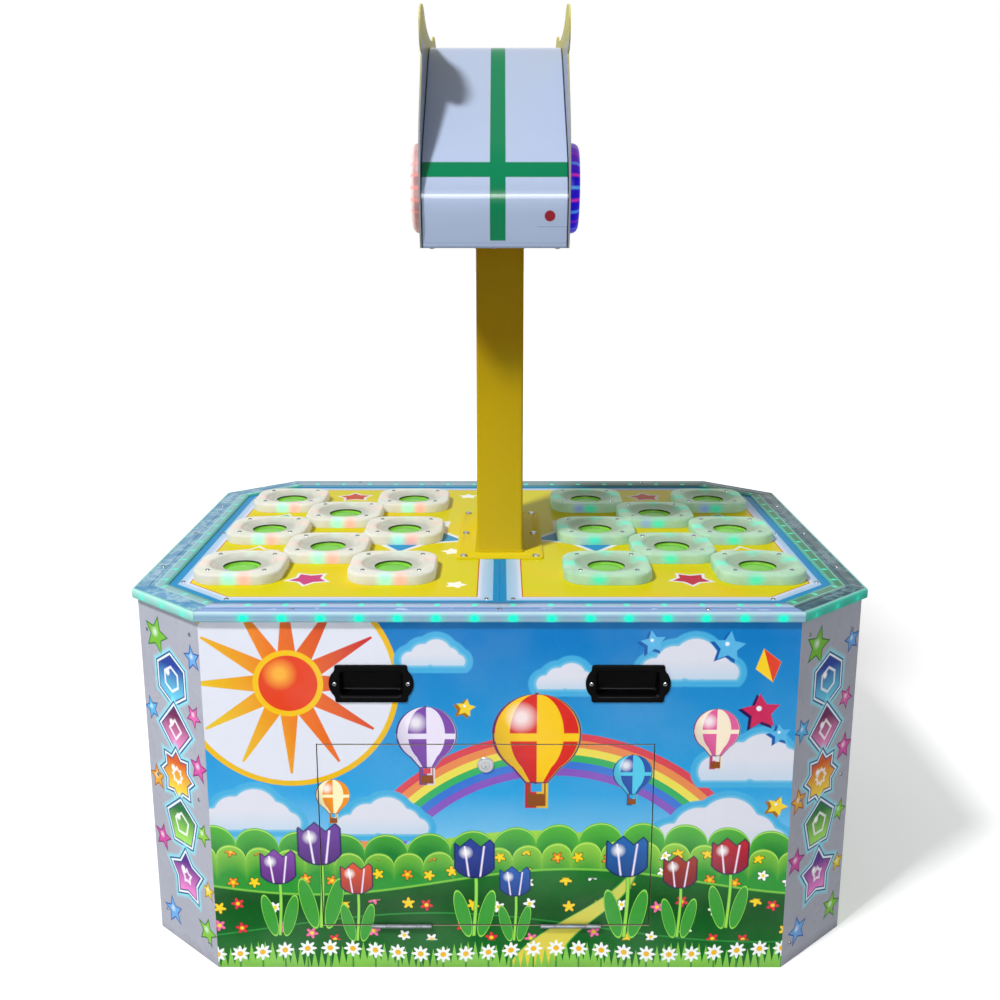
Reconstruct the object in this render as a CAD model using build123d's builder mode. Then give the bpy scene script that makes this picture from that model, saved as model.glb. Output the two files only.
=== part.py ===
from build123d import *
from math import atan2, copysign, cos, degrees, hypot, radians, sin, sqrt
import os

os.makedirs("parts", exist_ok=True)

# Mole pounding table for two players, in millimetres.
# The origin lies on the floor under the middle of the table, and +Z is up.
# The service side with the door faces -Y. The players stand at the two ends, -X and +X.

# Table
table_length = 1352.0
table_width = 1050.0
table_height = 700.0
corner_cut_x = 148.0
corner_cut_y = 137.0
panel_thickness = 15.0
deck_thickness = 18.0
playfield_thickness = 15.0
base_thickness = 15.0
base_height = 20.0
batten_size = 24.0
fit_gap = 0.3

# Clear edge trim: a shallow channel with its top outwards, which roofs the light strips
trim_thickness = 18.0
trim_band = 60.0
trim_overhang = 9.0
trim_plate = 5.0
trim_wall = 8.0
trim_lip = 5.0

# Flats round what is round and often repeated, which keeps the model light
cap_sides = 16
corner_flats = 3
lamp_sides = 32
knob_sides = 20
bolt_sides = 8

# Moles, their collars and drives
row_count = 5
row_pitch = 138.8
first_column_x = 205.0
column_to_trim = 120.0
collar_gap = 3.9
collar_corner_share = 0.2814
collar_height = 21.0
collar_rim = 23.5
collar_hole_radius = 35.0
dish_depth = 7.0
well_width = 84.0
mole_radius = 33.0
mole_below_collar = 11.0
mole_length = 96.0
mole_travel = 55.0
dome_band_heights = (6.0, 5.0)
dome_band_insets = (4.5, 12.0)
stem_width = 12.0
stem_clearance = 0.3
stem_below_coil = 10.0
stem_guide = 41.0
seat_gap = 0.3
bracket_sheet = 3.0
bracket_depth = 50.0
bracket_foot = 18.0
coil_width = 56.0

# Pillar
pillar_width = 92.0
pillar_depth = 290.0
pillar_wall = 2.0
pillar_corner_radius = 5.0
base_plate_width = 176.0
base_plate_depth = 376.0
base_plate_thickness = 3.0
base_plate_corner_radius = 9.0
base_bolt_x = 72.5
base_bolt_y = 175.5
bolt_radius = 4.0
bolt_head_radius = 7.0
bolt_head_height = 4.0
bolt_clearance = 0.1
cable_hole_width = 60.0
cable_hole_depth = 200.0
top_flange_margin = 26.0
top_flange_thickness = 3.0

# Head, which sits a little to the left of the pillar's middle
head_bottom = 1309.0
head_width = 676.0
head_height = 424.0
head_shift = 9.0
head_depth = 265.0
face_thickness = 3.0
wrap_thickness = 2.0
wrap_return = 18.0
head_floor_thickness = 2.0
lamp_height = 110.0
lamp_outer_radius = 88.0
lamp_inner_radius = 56.0
lamp_projection = 33.0
lamp_shoulder = 19.0
lamp_edge = 11.0
display_width = 80.0
display_height = 42.0
display_flange = 6.0
display_flange_depth = 10.0
display_proud = 1.0

# Outline of a face plate, from the foot of the head up one side to the crown.
# Each point is a share of half the head's width and a share of its height.
foot_share = (0.935, 0.0)
belly_share = (1.0, 0.2335)
cheek_share = (0.888, 0.5452)
neck_share = (0.657, 0.804)
ear_out_share = (0.800, 0.898)
ear_back_share = (0.710, 0.979)
ear_tip_share = (0.585, 1.0)
ear_in_share = (0.385, 0.9646)
brow_share = (0.190, 0.941)
crown_share = (0.0, 0.936)

# Outline of the curved sheet between the face plates, in the same shares
wrap_belly_share = (0.994, 0.2166)
wrap_shoulder_share = (0.905, 0.3614)
wrap_eave_share = (0.133, 0.861)
wrap_ridge_share = (0.0, 0.897)

# Service door, its hinges and its lock
door_width = 600.0
door_centre_x = -25.0
door_bottom = 90.5
door_to_grip = 116.5
door_gap = 2.0
hinge_gap = 3.0
door_clearance = 0.4
hinge_x_shares = (-0.26, 0.26)
hinge_length = 111.0
hinge_barrel_radius = 4.0
hinge_pin_radius = 2.0
hinge_pin_clearance = 0.05
hinge_leaf = 1.3
hinge_leaf_depth = 17.0
hinge_standoff = 0.2
knuckle_gap = 0.4
middle_knuckle_share = 0.5
lock_below_door_top = 38.5
lock_flange_radius = 15.0
lock_flange = 3.0
lock_body_radius = 9.5
lock_hole_clearance = 0.2
lock_nut_radius = 13.0
lock_nut = 1.2
cylinder_radius = 7.0
cylinder_clearance = 0.1
key_slot_width = 2.2
key_slot_height = 8.0
key_slot_depth = 4.0
cam_length = 56.0
cam_width = 14.0
cam_thickness = 2.5
cam_gap = 0.5

# Recessed hand grips in the service side
grip_from_corner = 302.4
grip_below_top = 116.0
grip_width = 148.5
grip_plate_width = 128.0
grip_height = 70.0
grip_corner_radius = 4.0
grip_ear_radius = 30.0
grip_plate = 2.5
cup_width = 108.0
cup_height = 43.0
cup_corner_radius = 6.0
cup_depth = 24.0
cup_wall = 1.5
cup_clearance = 0.5

# Player controls in the end panels. From the cash box up: speaker, coin unit and start button,
# with shares of the free height below, between and above them.
end_gap_shares = (0.107, 0.336, 0.306)
button_radius = 22.0
button_clearance = 0.3
button_bezel_radius = 29.0
button_bezel = 3.5
button_body_wall = 2.5
button_depth = 24.0
button_proud = 4.0
button_dome = 3.0
button_edge = 7.0
button_length = 14.0
coin_plate_width = 66.0
coin_plate_height = 106.0
coin_plate = 3.0
coin_plate_margin = 5.0
coin_body_depth = 58.0
coin_slot_width = 3.5
coin_slot_height = 28.0
coin_slot_depth = 20.0
return_cup_width = 36.0
return_cup_height = 30.0
return_cup_depth = 26.0
reject_radius = 8.0
reject_clearance = 0.3
reject_proud = 4.0
reject_length = 12.0
reject_bore_depth = 16.0
speaker_radius = 51.0
speaker_depth = 42.0
speaker_rim = 4.0
magnet_radius = 26.0
magnet_height = 14.0
slot_count = 6
slot_width = 6.0
slot_pitch = 14.0
slot_length = 84.0

# Back panel fittings
vent_from_corner = 228.0
vent_below_top = 162.0
inlet_from_corner = 98.0
inlet_z = 150.0
inlet_width = 50.0
inlet_height = 60.0
inlet_flange = 3.0
inlet_margin = 4.0
inlet_depth = 34.0
socket_width = 25.0
socket_height = 18.0
socket_depth = 17.0
socket_offset = 14.0
pin_size = 3.0
pin_pitch = 7.0
rocker_offset = 16.0
rocker_width = 21.0
rocker_height = 13.0
rocker_depth = 9.0
rocker_proud = 2.2
rocker_clearance = 0.8
rocker_tilt = 7.0

# Pieces on the base board
cash_box_length = 200.0
cash_box_width = 150.0
cash_box_height = 110.0
cash_box_wall = 2.0
cash_box_inset = 20.0
supply_length = 200.0
supply_width = 100.0
supply_height = 52.0
supply_x = -190.0
supply_to_back = 191.0
supply_fin_width = 4.0
supply_fin_height = 5.0
supply_fin_pitch = 14.0
supply_fin_count = 6
board_length = 190.0
board_width = 130.0
board_thickness = 1.6
board_standoff = 8.0
board_post_radius = 4.0
board_post_margin = 10.0
board_x = 140.0
board_to_back = 176.0
chip_size = 28.0
chip_height = 4.0
connector_length = 20.0
connector_width = 9.0
connector_height = 12.0
connector_pitch = 26.0
connector_count = 6

# Levels and planes that follow from these
body_top = table_height - trim_thickness
deck_bottom = body_top - deck_thickness
play_top = body_top + playfield_thickness
collar_top = play_top + collar_height
panel_inset = trim_overhang + panel_thickness
front_y = -table_width / 2 + trim_overhang
panel_back_y = front_y + panel_thickness
end_x = table_length / 2 - trim_overhang
base_top = base_height + base_thickness
corner_x = table_length / 2 - corner_cut_x
grip_x = corner_x - grip_from_corner
grip_z = body_top - grip_below_top
door_height = grip_z - door_to_grip - door_bottom
front_plane = Plane(origin=(0, front_y, 0), x_dir=(1, 0, 0), z_dir=(0, -1, 0))
back_plane = Plane(origin=(0, -front_y, 0), x_dir=(-1, 0, 0), z_dir=(0, 1, 0))


def end_plane(side):
    """The face of an end panel, with +Z up: side is -1 at the left end and +1 at the right."""
    return Plane(origin=(side * end_x, 0, 0), x_dir=(0, side, 0), z_dir=(side, 0, 0))


def outline(inset):
    """The corners of the table's outline, moved inwards, anticlockwise from the front side's left."""
    slope = hypot(corner_cut_x, corner_cut_y)
    cut_x = corner_cut_x - inset * (1 - (slope - corner_cut_x) / corner_cut_y)
    cut_y = corner_cut_y - inset * (1 - (slope - corner_cut_y) / corner_cut_x)
    x, y = table_length / 2 - inset, table_width / 2 - inset
    right = [(x - cut_x, -y), (x, -y + cut_y), (x, y - cut_y), (x - cut_x, y)]
    left = [(-a, b) for a, b in reversed(right)]
    return [left[-1]] + right + left[:-1]


# Sides of the outline, in the order of its corners
outline_sides = ("front", "corner a", "right", "corner b", "back", "corner c", "left", "corner d")
corner_sides = outline_sides[1::2]


def mitred_side(side, outer, inner):
    """The plan of one named side between two insets, mitred at both ends."""
    a, b = outline(outer), outline(inner)
    start = outline_sides.index(side)
    after = (start + 1) % len(a)
    return [a[start], a[after], b[after], b[start]]


# Columns reach from beside the pillar to the trim, and the collars fill the space between them
column_pitch = (table_length / 2 - trim_band - column_to_trim - first_column_x) / 2


def collar_size():
    """The width at which the rounded corners of neighbouring collars stand the collar gap apart."""
    straight = 1 - 2 * collar_corner_share
    round_part = 2 * collar_corner_share
    a = 2 * straight**2 - round_part**2
    b = straight * (column_pitch + row_pitch) + round_part * collar_gap
    c = column_pitch**2 + row_pitch**2 - collar_gap**2
    return (b - sqrt(b**2 - a * c)) / a


collar_width = collar_size()
collar_corner_radius = collar_corner_share * collar_width
dish_radius = collar_width / 2 - collar_rim


def mole_places(side):
    """The centres of one player's moles: rows of two, with a single one between them."""
    places = []
    for row in range(row_count):
        for column in (0, 2) if row % 2 == 0 else (1,):
            x = first_column_x + column * column_pitch
            places.append((side * x, (row - (row_count - 1) / 2) * row_pitch))
    return places


all_places = mole_places(-1) + mole_places(1)


def finish(piece, name):
    piece.part.label = name
    export_step(piece.part, f"parts/{name}.step")


# Base board, cut to the inside of the panels
with BuildPart() as base_board:
    with BuildSketch(Plane.XY.offset(base_height)):
        with BuildLine():
            Polyline(outline(panel_inset), close=True)
        make_face()
    extrude(amount=base_thickness)
finish(base_board, "base_board")


# Timber battens that join the panels at the corners and stop the door
with BuildPart() as battens:
    inner = outline(panel_inset)
    side_x = inner[1][0] - batten_size / 2 - fit_gap
    end_y = inner[3][1] - batten_size / 2 - fit_gap
    long_y = -panel_back_y - batten_size / 2
    short_x = inner[2][0] - batten_size / 2
    stop_x = door_width / 2 + door_gap
    with BuildSketch(Plane.XY.offset(base_top)):
        with GridLocations(2 * side_x, 2 * long_y, 2, 2):
            Rectangle(batten_size, batten_size)
        with GridLocations(2 * short_x, 2 * end_y, 2, 2):
            Rectangle(batten_size, batten_size)
    extrude(amount=deck_bottom - base_top)
    with BuildSketch(Plane.XY.offset(base_top)):
        with Locations((door_centre_x, -long_y)):
            with GridLocations(2 * stop_x, 0, 2, 1):
                Rectangle(batten_size, batten_size)
    extrude(amount=door_bottom + door_height + batten_size - base_top)
finish(battens, "battens")


def add_panel(side):
    """An upright panel on one side of the outline."""
    with BuildSketch(Plane.XY) as plan:
        with BuildLine():
            Polyline(mitred_side(side, trim_overhang, panel_inset), close=True)
        make_face()
    extrude(plan.sketch, amount=body_top)


# Front panel, with the door's opening and the two grips' openings
opening_bottom = door_bottom - hinge_gap
opening_top = door_bottom + door_height + door_gap
with BuildPart() as front_panel:
    add_panel("front")
    with BuildSketch(front_plane):
        with Locations((door_centre_x, (opening_bottom + opening_top) / 2)):
            Rectangle(door_width + 2 * door_gap, opening_top - opening_bottom)
        with Locations((-grip_x, grip_z), (grip_x, grip_z)):
            RectangleRounded(
                cup_width + 2 * (cup_wall + cup_clearance),
                cup_height + 2 * (cup_wall + cup_clearance),
                cup_corner_radius + cup_wall + cup_clearance,
            )
    extrude(amount=-panel_thickness, mode=Mode.SUBTRACT)
finish(front_panel, "front_panel")


# Back panel, with two fields of vent slots and the power inlet's opening
vent_x = corner_x - vent_from_corner
vent_z = body_top - vent_below_top
inlet_x = corner_x - inlet_from_corner
with BuildPart() as back_panel:
    add_panel("back")
    with BuildSketch(back_plane):
        with Locations((-vent_x, vent_z), (vent_x, vent_z)):
            with GridLocations(0, slot_pitch, 1, slot_count):
                Rectangle(slot_length, slot_width)
        with Locations((-inlet_x, inlet_z)):
            Rectangle(inlet_width - 2 * inlet_margin + fit_gap, inlet_height - 2 * inlet_margin + fit_gap)
    extrude(amount=-panel_thickness, mode=Mode.SUBTRACT)
finish(back_panel, "back_panel")


# End panels, with the start button, the coin unit and the speaker's slots
button_body_radius = button_radius + button_clearance + button_body_wall
coin_body_width = coin_plate_width - 2 * coin_plate_margin
coin_body_height = coin_plate_height - 2 * coin_plate_margin
box_top = base_top + cash_box_height
free_height = body_top - box_top - 2 * speaker_radius - coin_plate_height - 2 * button_bezel_radius
below_speaker, below_coin, below_button = [share * free_height for share in end_gap_shares]
speaker_z = box_top + below_speaker + speaker_radius
coin_z = speaker_z + speaker_radius + below_coin + coin_plate_height / 2
button_z = coin_z + coin_plate_height / 2 + below_button + button_bezel_radius
for side, word in ((-1, "left"), (1, "right")):
    with BuildPart() as end_panel:
        add_panel(word)
        with BuildSketch(end_plane(side)):
            with Locations((0, button_z)):
                RegularPolygon(button_body_radius + fit_gap, knob_sides, major_radius=False)
            with Locations((0, coin_z)):
                Rectangle(coin_body_width + 2 * fit_gap, coin_body_height + 2 * fit_gap)
            with Locations((0, speaker_z)):
                with GridLocations(0, slot_pitch, 1, slot_count):
                    Rectangle(slot_length, slot_width)
        extrude(amount=-panel_thickness, mode=Mode.SUBTRACT)
    finish(end_panel, f"{word}_end_panel")

with BuildPart() as corner_panels:
    for side in corner_sides:
        add_panel(side)
finish(corner_panels, "corner_panels")


# Deck board inside the panels, with a well for each mole drive
with BuildPart() as deck_board:
    with BuildSketch(Plane.XY.offset(deck_bottom)):
        with BuildLine():
            Polyline(outline(panel_inset), close=True)
        make_face()
        with Locations(*all_places):
            Rectangle(well_width, well_width, mode=Mode.SUBTRACT)
        Rectangle(cable_hole_width, cable_hole_depth, mode=Mode.SUBTRACT)
    extrude(amount=deck_thickness)
finish(deck_board, "deck_board")


# Printed playfield boards, one for each player, inside the trim
for side, name in ((-1, "playfield_left"), (1, "playfield_right")):
    with BuildPart() as playfield:
        with BuildSketch(Plane.XY.offset(body_top)):
            with BuildLine():
                Polyline(outline(trim_band + fit_gap), close=True)
            make_face()
            with Locations((side * (table_length + fit_gap) / 2, 0)):
                Rectangle(table_length, table_width, mode=Mode.INTERSECT)
            with Locations(*mole_places(side)):
                Rectangle(well_width, well_width, mode=Mode.SUBTRACT)
            Rectangle(cable_hole_width, cable_hole_depth, mode=Mode.SUBTRACT)
            with Locations((side * base_bolt_x, 0)):
                with GridLocations(0, base_bolt_y, 1, 3):
                    RegularPolygon(bolt_radius + bolt_clearance, bolt_sides, mode=Mode.SUBTRACT)
        extrude(amount=playfield_thickness)
    finish(playfield, name)


def build_trim(sides):
    """Lengths of edge trim: a clear channel, open below, mitred at both ends."""
    with BuildPart() as trim:
        for side in sides:
            with BuildSketch(Plane.XY.offset(body_top)):
                with BuildLine():
                    Polyline(mitred_side(side, 0, trim_band), close=True)
                make_face()
            extrude(amount=trim_thickness)
            with BuildSketch(Plane.XY.offset(body_top)):
                with BuildLine():
                    Polyline(mitred_side(side, trim_wall, trim_band - trim_lip), close=True)
                make_face()
            extrude(amount=trim_thickness - trim_plate, mode=Mode.SUBTRACT)
    return trim


finish(build_trim(["front", "back"]), "trim_long")
finish(build_trim(["left", "right"]), "trim_ends")
finish(build_trim(corner_sides), "trim_corners")


def collar_outline(place):
    """A square with rounded corners, each drawn with a few flats, round one place."""
    x, y = place
    reach = collar_width / 2 - collar_corner_radius
    points = []
    for quarter in range(4):
        for step in range(corner_flats + 1):
            turn = radians(90 * (quarter + step / corner_flats))
            corner = radians(45 + 90 * quarter)
            centre_x = copysign(reach, cos(corner))
            centre_y = copysign(reach, sin(corner))
            points.append(
                (
                    x + centre_x + collar_corner_radius * cos(turn),
                    y + centre_y + collar_corner_radius * sin(turn),
                )
            )
    return points


# Cutter for a collar's dish, drawn upright with its wide end down
with BuildPart() as dish:
    with BuildSketch(Plane.XY):
        RegularPolygon(dish_radius, cap_sides, major_radius=False)
    extrude(amount=dish_depth, taper=degrees(atan2(dish_radius - collar_hole_radius, dish_depth)))

# Collars: a dished, round-cornered block with a hole over each well
for side, name in ((-1, "mole_collars_left"), (1, "mole_collars_right")):
    with BuildPart() as collars:
        for place in mole_places(side):
            with BuildSketch(Plane.XY.offset(play_top)):
                with BuildLine():
                    Polyline(collar_outline(place), close=True)
                make_face()
            extrude(amount=collar_height)
        with BuildSketch(Plane.XY.offset(play_top)):
            with Locations(*mole_places(side)):
                RegularPolygon(collar_hole_radius, cap_sides, major_radius=False)
        extrude(amount=collar_height, mode=Mode.SUBTRACT)
        with Locations(*[(x, y, collar_top) for x, y in mole_places(side)]):
            add(dish.part, rotation=(180, 0, 0), mode=Mode.SUBTRACT)
    finish(collars, name)


# Moles: a domed cap on a square stem that slides in its drive
mole_top = collar_top - mole_below_collar
mole_bottom = mole_top - mole_length
coil_top = mole_bottom - seat_gap - bracket_sheet
# The stem still fills the coil's bore over its guide when the mole is fully up
coil_height = mole_travel - stem_below_coil + stem_guide
coil_bottom = coil_top - coil_height
stem_length = mole_bottom - coil_bottom + stem_below_coil


def add_cap_band(place, radius, level, height, inset):
    """One band of a cap, drawn in by the inset over its height."""
    with BuildSketch(Plane.XY.offset(level)) as ring:
        with Locations(place):
            RegularPolygon(radius, cap_sides, major_radius=False)
    extrude(ring.sketch, amount=height, taper=degrees(atan2(inset, height)))


for side, word in ((-1, "left"), (1, "right")):
    for number, place in enumerate(mole_places(side), start=1):
        with BuildPart() as mole:
            level = mole_top - sum(dome_band_heights)
            radius = mole_radius
            add_cap_band(place, radius, mole_bottom, level - mole_bottom, 0)
            for height, inset in zip(dome_band_heights, dome_band_insets):
                add_cap_band(place, radius, level, height, inset)
                level += height
                radius -= inset
            with BuildSketch(Plane.XY.offset(mole_bottom)):
                with Locations(place):
                    Rectangle(stem_width, stem_width)
            extrude(amount=-stem_length)
        finish(mole, f"mole_{word}_{number}")


# Mole drives: a bracket hung under the deck, with the coil and the stem's bore below it
with BuildPart() as mole_drives:
    bracket_base = well_width + 2 * (fit_gap + bracket_sheet)
    leg_x = (bracket_base - bracket_sheet) / 2
    foot_x = (bracket_base + bracket_foot) / 2
    with BuildSketch(Plane.XY.offset(coil_top)):
        with Locations(*all_places):
            Rectangle(bracket_base, bracket_depth)
    extrude(amount=bracket_sheet)
    with BuildSketch(Plane.XY.offset(coil_top)):
        with Locations(*all_places):
            with GridLocations(2 * leg_x, 0, 2, 1):
                Rectangle(bracket_sheet, bracket_depth)
    extrude(amount=deck_bottom - coil_top)
    with BuildSketch(Plane.XY.offset(deck_bottom - bracket_sheet)):
        with Locations(*all_places):
            with GridLocations(2 * foot_x, 0, 2, 1):
                Rectangle(bracket_foot, bracket_depth)
    extrude(amount=bracket_sheet)
    with BuildSketch(Plane.XY.offset(coil_bottom)):
        with Locations(*all_places):
            Rectangle(coil_width, coil_width)
    extrude(amount=coil_height)
    with BuildSketch(Plane.XY.offset(coil_bottom)):
        with Locations(*all_places):
            Rectangle(stem_width + 2 * stem_clearance, stem_width + 2 * stem_clearance)
    extrude(amount=coil_height + bracket_sheet, mode=Mode.SUBTRACT)
finish(mole_drives, "mole_drives")


# Pillar: a rectangular tube with a flange welded on top, which carries the head
head_floor_bottom = head_bottom + wrap_thickness
pillar_bottom = play_top + base_plate_thickness
with BuildPart() as pillar:
    with BuildSketch(Plane.XY.offset(pillar_bottom)):
        RectangleRounded(pillar_width, pillar_depth, pillar_corner_radius)
        offset(amount=-pillar_wall, mode=Mode.SUBTRACT)
    extrude(amount=head_floor_bottom - top_flange_thickness - pillar_bottom)
    with BuildSketch(Plane.XY.offset(head_floor_bottom - top_flange_thickness)):
        Rectangle(pillar_width + 2 * top_flange_margin, pillar_depth + 2 * top_flange_margin)
        Rectangle(cable_hole_width, cable_hole_depth, mode=Mode.SUBTRACT)
    extrude(amount=top_flange_thickness)
finish(pillar, "pillar")

with BuildPart() as pillar_base_plate:
    with BuildSketch(Plane.XY.offset(play_top)):
        RectangleRounded(base_plate_width, base_plate_depth, base_plate_corner_radius)
        Rectangle(cable_hole_width, cable_hole_depth, mode=Mode.SUBTRACT)
        with GridLocations(2 * base_bolt_x, base_bolt_y, 2, 3):
            RegularPolygon(bolt_radius + bolt_clearance, bolt_sides, mode=Mode.SUBTRACT)
    extrude(amount=base_plate_thickness)
finish(pillar_base_plate, "pillar_base_plate")

with BuildPart() as pillar_bolts:
    with BuildSketch(Plane.XY.offset(pillar_bottom)):
        with GridLocations(2 * base_bolt_x, base_bolt_y, 2, 3):
            RegularPolygon(bolt_head_radius, 6)
    extrude(amount=bolt_head_height)
    with BuildSketch(Plane.XY.offset(pillar_bottom)):
        with GridLocations(2 * base_bolt_x, base_bolt_y, 2, 3):
            RegularPolygon(bolt_radius, bolt_sides)
    extrude(amount=-(base_plate_thickness + playfield_thickness))
finish(pillar_bolts, "pillar_bolts")


def head_point(share, mirrored=False):
    """A point of the head's side view from its shares."""
    sign = -1 if mirrored else 1
    return (sign * share[0] * head_width / 2, head_bottom + share[1] * head_height)


# Curved sheet between the face plates, with a return along both lower edges
sheet_half = head_depth / 2 - face_thickness
with BuildPart() as head_wrap:
    with BuildSketch(Plane(origin=(-sheet_half - head_shift, 0, 0), x_dir=(0, 1, 0), z_dir=(1, 0, 0))):
        with BuildLine():
            for mirrored in (False, True):
                sign = -1 if mirrored else 1
                lower = head_point(foot_share, mirrored)
                shoulder = head_point(wrap_shoulder_share, mirrored)
                Line((lower[0] - sign * wrap_return, lower[1]), lower)
                ThreePointArc(lower, head_point(wrap_belly_share, mirrored), shoulder)
                Line(shoulder, head_point(wrap_eave_share, mirrored))
            ThreePointArc(
                head_point(wrap_eave_share),
                head_point(wrap_ridge_share),
                head_point(wrap_eave_share, True),
            )
            offset(amount=wrap_thickness, side=Side.LEFT)
        make_face()
    extrude(amount=2 * sheet_half)
finish(head_wrap, "head_wrap")

# Floor of the head, bolted to the pillar's flange
head_floor_half = foot_share[0] * head_width / 2 - wrap_thickness - fit_gap
with BuildPart() as head_floor:
    with BuildSketch(Plane.XY.offset(head_floor_bottom)):
        with Locations((-head_shift, 0)):
            Rectangle(2 * (sheet_half - fit_gap), 2 * head_floor_half)
        Rectangle(cable_hole_width, cable_hole_depth, mode=Mode.SUBTRACT)
    extrude(amount=head_floor_thickness)
finish(head_floor, "head_floor")


def head_plane(side, x):
    """A plane square to X, with its outer side towards that player."""
    return Plane(origin=(side * x - head_shift, 0, 0), x_dir=(0, side, 0), z_dir=(side, 0, 0))


# Face plates: a rounded animal's head with two ears, which closes each side of the head
lamp_z = head_bottom + lamp_height
for side, name in ((-1, "head_face_left"), (1, "head_face_right")):
    with BuildPart() as head_face:
        with BuildSketch(head_plane(side, sheet_half)):
            with BuildLine():
                Line(head_point(foot_share, True), head_point(foot_share))
                for mirrored in (False, True):
                    foot, belly, cheek, neck, ear_out, ear_back, ear_tip, ear_in, brow, crown = [
                        head_point(share, mirrored)
                        for share in (
                            foot_share,
                            belly_share,
                            cheek_share,
                            neck_share,
                            ear_out_share,
                            ear_back_share,
                            ear_tip_share,
                            ear_in_share,
                            brow_share,
                            crown_share,
                        )
                    ]
                    ThreePointArc(foot, belly, cheek)
                    Line(cheek, neck)
                    ThreePointArc(neck, ear_out, ear_back)
                    ThreePointArc(ear_back, ear_tip, ear_in)
                    ThreePointArc(ear_in, brow, crown)
            make_face()
            with Locations((0, lamp_z)):
                Rectangle(display_width + 2 * fit_gap, display_height + 2 * fit_gap, mode=Mode.SUBTRACT)
        extrude(amount=face_thickness)
    finish(head_face, name)


def head_place(side, x):
    """Where a round piece drawn upright goes, standing out from the head round its lamp's axis."""
    return head_plane(side, x).location * Location((0, lamp_z, 0))


# Ring lamps, one round each display, with a bevelled front edge
with BuildPart() as ring_lamp:
    with BuildSketch(Plane.XY):
        RegularPolygon(lamp_outer_radius, lamp_sides, major_radius=False)
    extrude(amount=lamp_shoulder)
    with BuildSketch(Plane.XY.offset(lamp_shoulder)):
        RegularPolygon(lamp_outer_radius, lamp_sides, major_radius=False)
    rise = lamp_projection - lamp_shoulder
    extrude(amount=rise, taper=degrees(atan2(lamp_edge, rise)))
    with BuildSketch(Plane.XY):
        RegularPolygon(lamp_inner_radius, lamp_sides, major_radius=False)
    extrude(amount=lamp_projection, mode=Mode.SUBTRACT)
with BuildPart() as lamp_rings:
    with Locations(*[head_place(side, head_depth / 2) for side in (-1, 1)]):
        add(ring_lamp.part)
finish(lamp_rings, "lamp_rings")

# Score displays, each with a flange behind its face plate
with BuildPart() as score_displays:
    for side in (-1, 1):
        with BuildSketch(head_plane(side, sheet_half)):
            with Locations((0, lamp_z)):
                Rectangle(display_width, display_height)
        extrude(amount=face_thickness + display_proud)
        with BuildSketch(head_plane(side, sheet_half)):
            with Locations((0, lamp_z)):
                Rectangle(display_width + 2 * display_flange, display_height + 2 * display_flange)
        extrude(amount=-display_flange_depth)
finish(score_displays, "score_displays")


# Recessed grips: an eared plate with a deep cup
for x, name in ((-grip_x, "grip_left"), (grip_x, "grip_right")):
    with BuildPart() as grip:
        with BuildSketch(front_plane):
            with Locations((x, grip_z)):
                RectangleRounded(grip_plate_width, grip_height, grip_corner_radius)
                with GridLocations(grip_width - 2 * grip_ear_radius, 0, 2, 1):
                    RegularPolygon(grip_ear_radius, knob_sides, major_radius=False)
        extrude(amount=grip_plate)
        with BuildSketch(front_plane):
            with Locations((x, grip_z)):
                RectangleRounded(
                    cup_width + 2 * cup_wall, cup_height + 2 * cup_wall, cup_corner_radius + cup_wall
                )
        extrude(amount=-cup_depth)
        with BuildSketch(front_plane.offset(grip_plate)):
            with Locations((x, grip_z)):
                RectangleRounded(cup_width, cup_height, cup_corner_radius)
        extrude(amount=-(cup_depth + grip_plate - cup_wall), mode=Mode.SUBTRACT)
    finish(grip, name)


# Service door, a little thinner than the panel so that it clears its stops
door_thickness = panel_thickness - door_clearance
lock_z = door_bottom + door_height - lock_below_door_top
with BuildPart() as service_door:
    with BuildSketch(front_plane):
        with Locations((door_centre_x, door_bottom + door_height / 2)):
            Rectangle(door_width, door_height)
        with Locations((door_centre_x, lock_z)):
            Circle(lock_body_radius + lock_hole_clearance, mode=Mode.SUBTRACT)
    extrude(amount=-door_thickness)
finish(service_door, "service_door")

# Butt hinges in the gap under the door. The fixed leaves hold the pins in their outer knuckles.
hinge_y = front_y - hinge_barrel_radius - hinge_standoff
hinge_z = door_bottom - hinge_gap / 2
hinge_places = [door_centre_x + share * door_width for share in hinge_x_shares]
middle_knuckle = middle_knuckle_share * hinge_length
outer_knuckle = (hinge_length - middle_knuckle) / 2 - knuckle_gap
leaf_y = front_y + hinge_leaf_depth - hinge_barrel_radius


def hinge_plane(x):
    """A plane square to the hinge's axis, looking along +X."""
    return Plane(origin=(x, hinge_y, hinge_z), x_dir=(0, 1, 0), z_dir=(1, 0, 0))


def add_leaf(x, sheet_z):
    """The flat sheet of one leaf, in the gap under the door."""
    with BuildSketch(Plane.XY.offset(sheet_z)) as sheet:
        with Locations((x, (front_y + leaf_y) / 2)):
            Rectangle(hinge_length, leaf_y - front_y)
    extrude(sheet.sketch, amount=hinge_leaf)


def add_knuckle(x, length, sheet_z):
    """A knuckle round the axis, centred on x, with its tongue to the leaf."""
    with BuildSketch(hinge_plane(x - length / 2)) as barrel:
        RegularPolygon(hinge_barrel_radius, bolt_sides)
    extrude(barrel.sketch, amount=length)
    with BuildSketch(Plane.XY.offset(sheet_z)) as tongue:
        with Locations((x, (hinge_y + front_y) / 2)):
            Rectangle(length, front_y - hinge_y)
    extrude(tongue.sketch, amount=hinge_leaf)


with BuildPart() as hinges_fixed:
    for x in hinge_places:
        add_leaf(x, opening_bottom)
        for sign in (-1, 1):
            add_knuckle(x + sign * (hinge_length - outer_knuckle) / 2, outer_knuckle, opening_bottom)
        with BuildSketch(hinge_plane(x - hinge_length / 2)):
            Circle(hinge_pin_radius)
        extrude(amount=hinge_length)
finish(hinges_fixed, "hinges_fixed")

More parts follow.
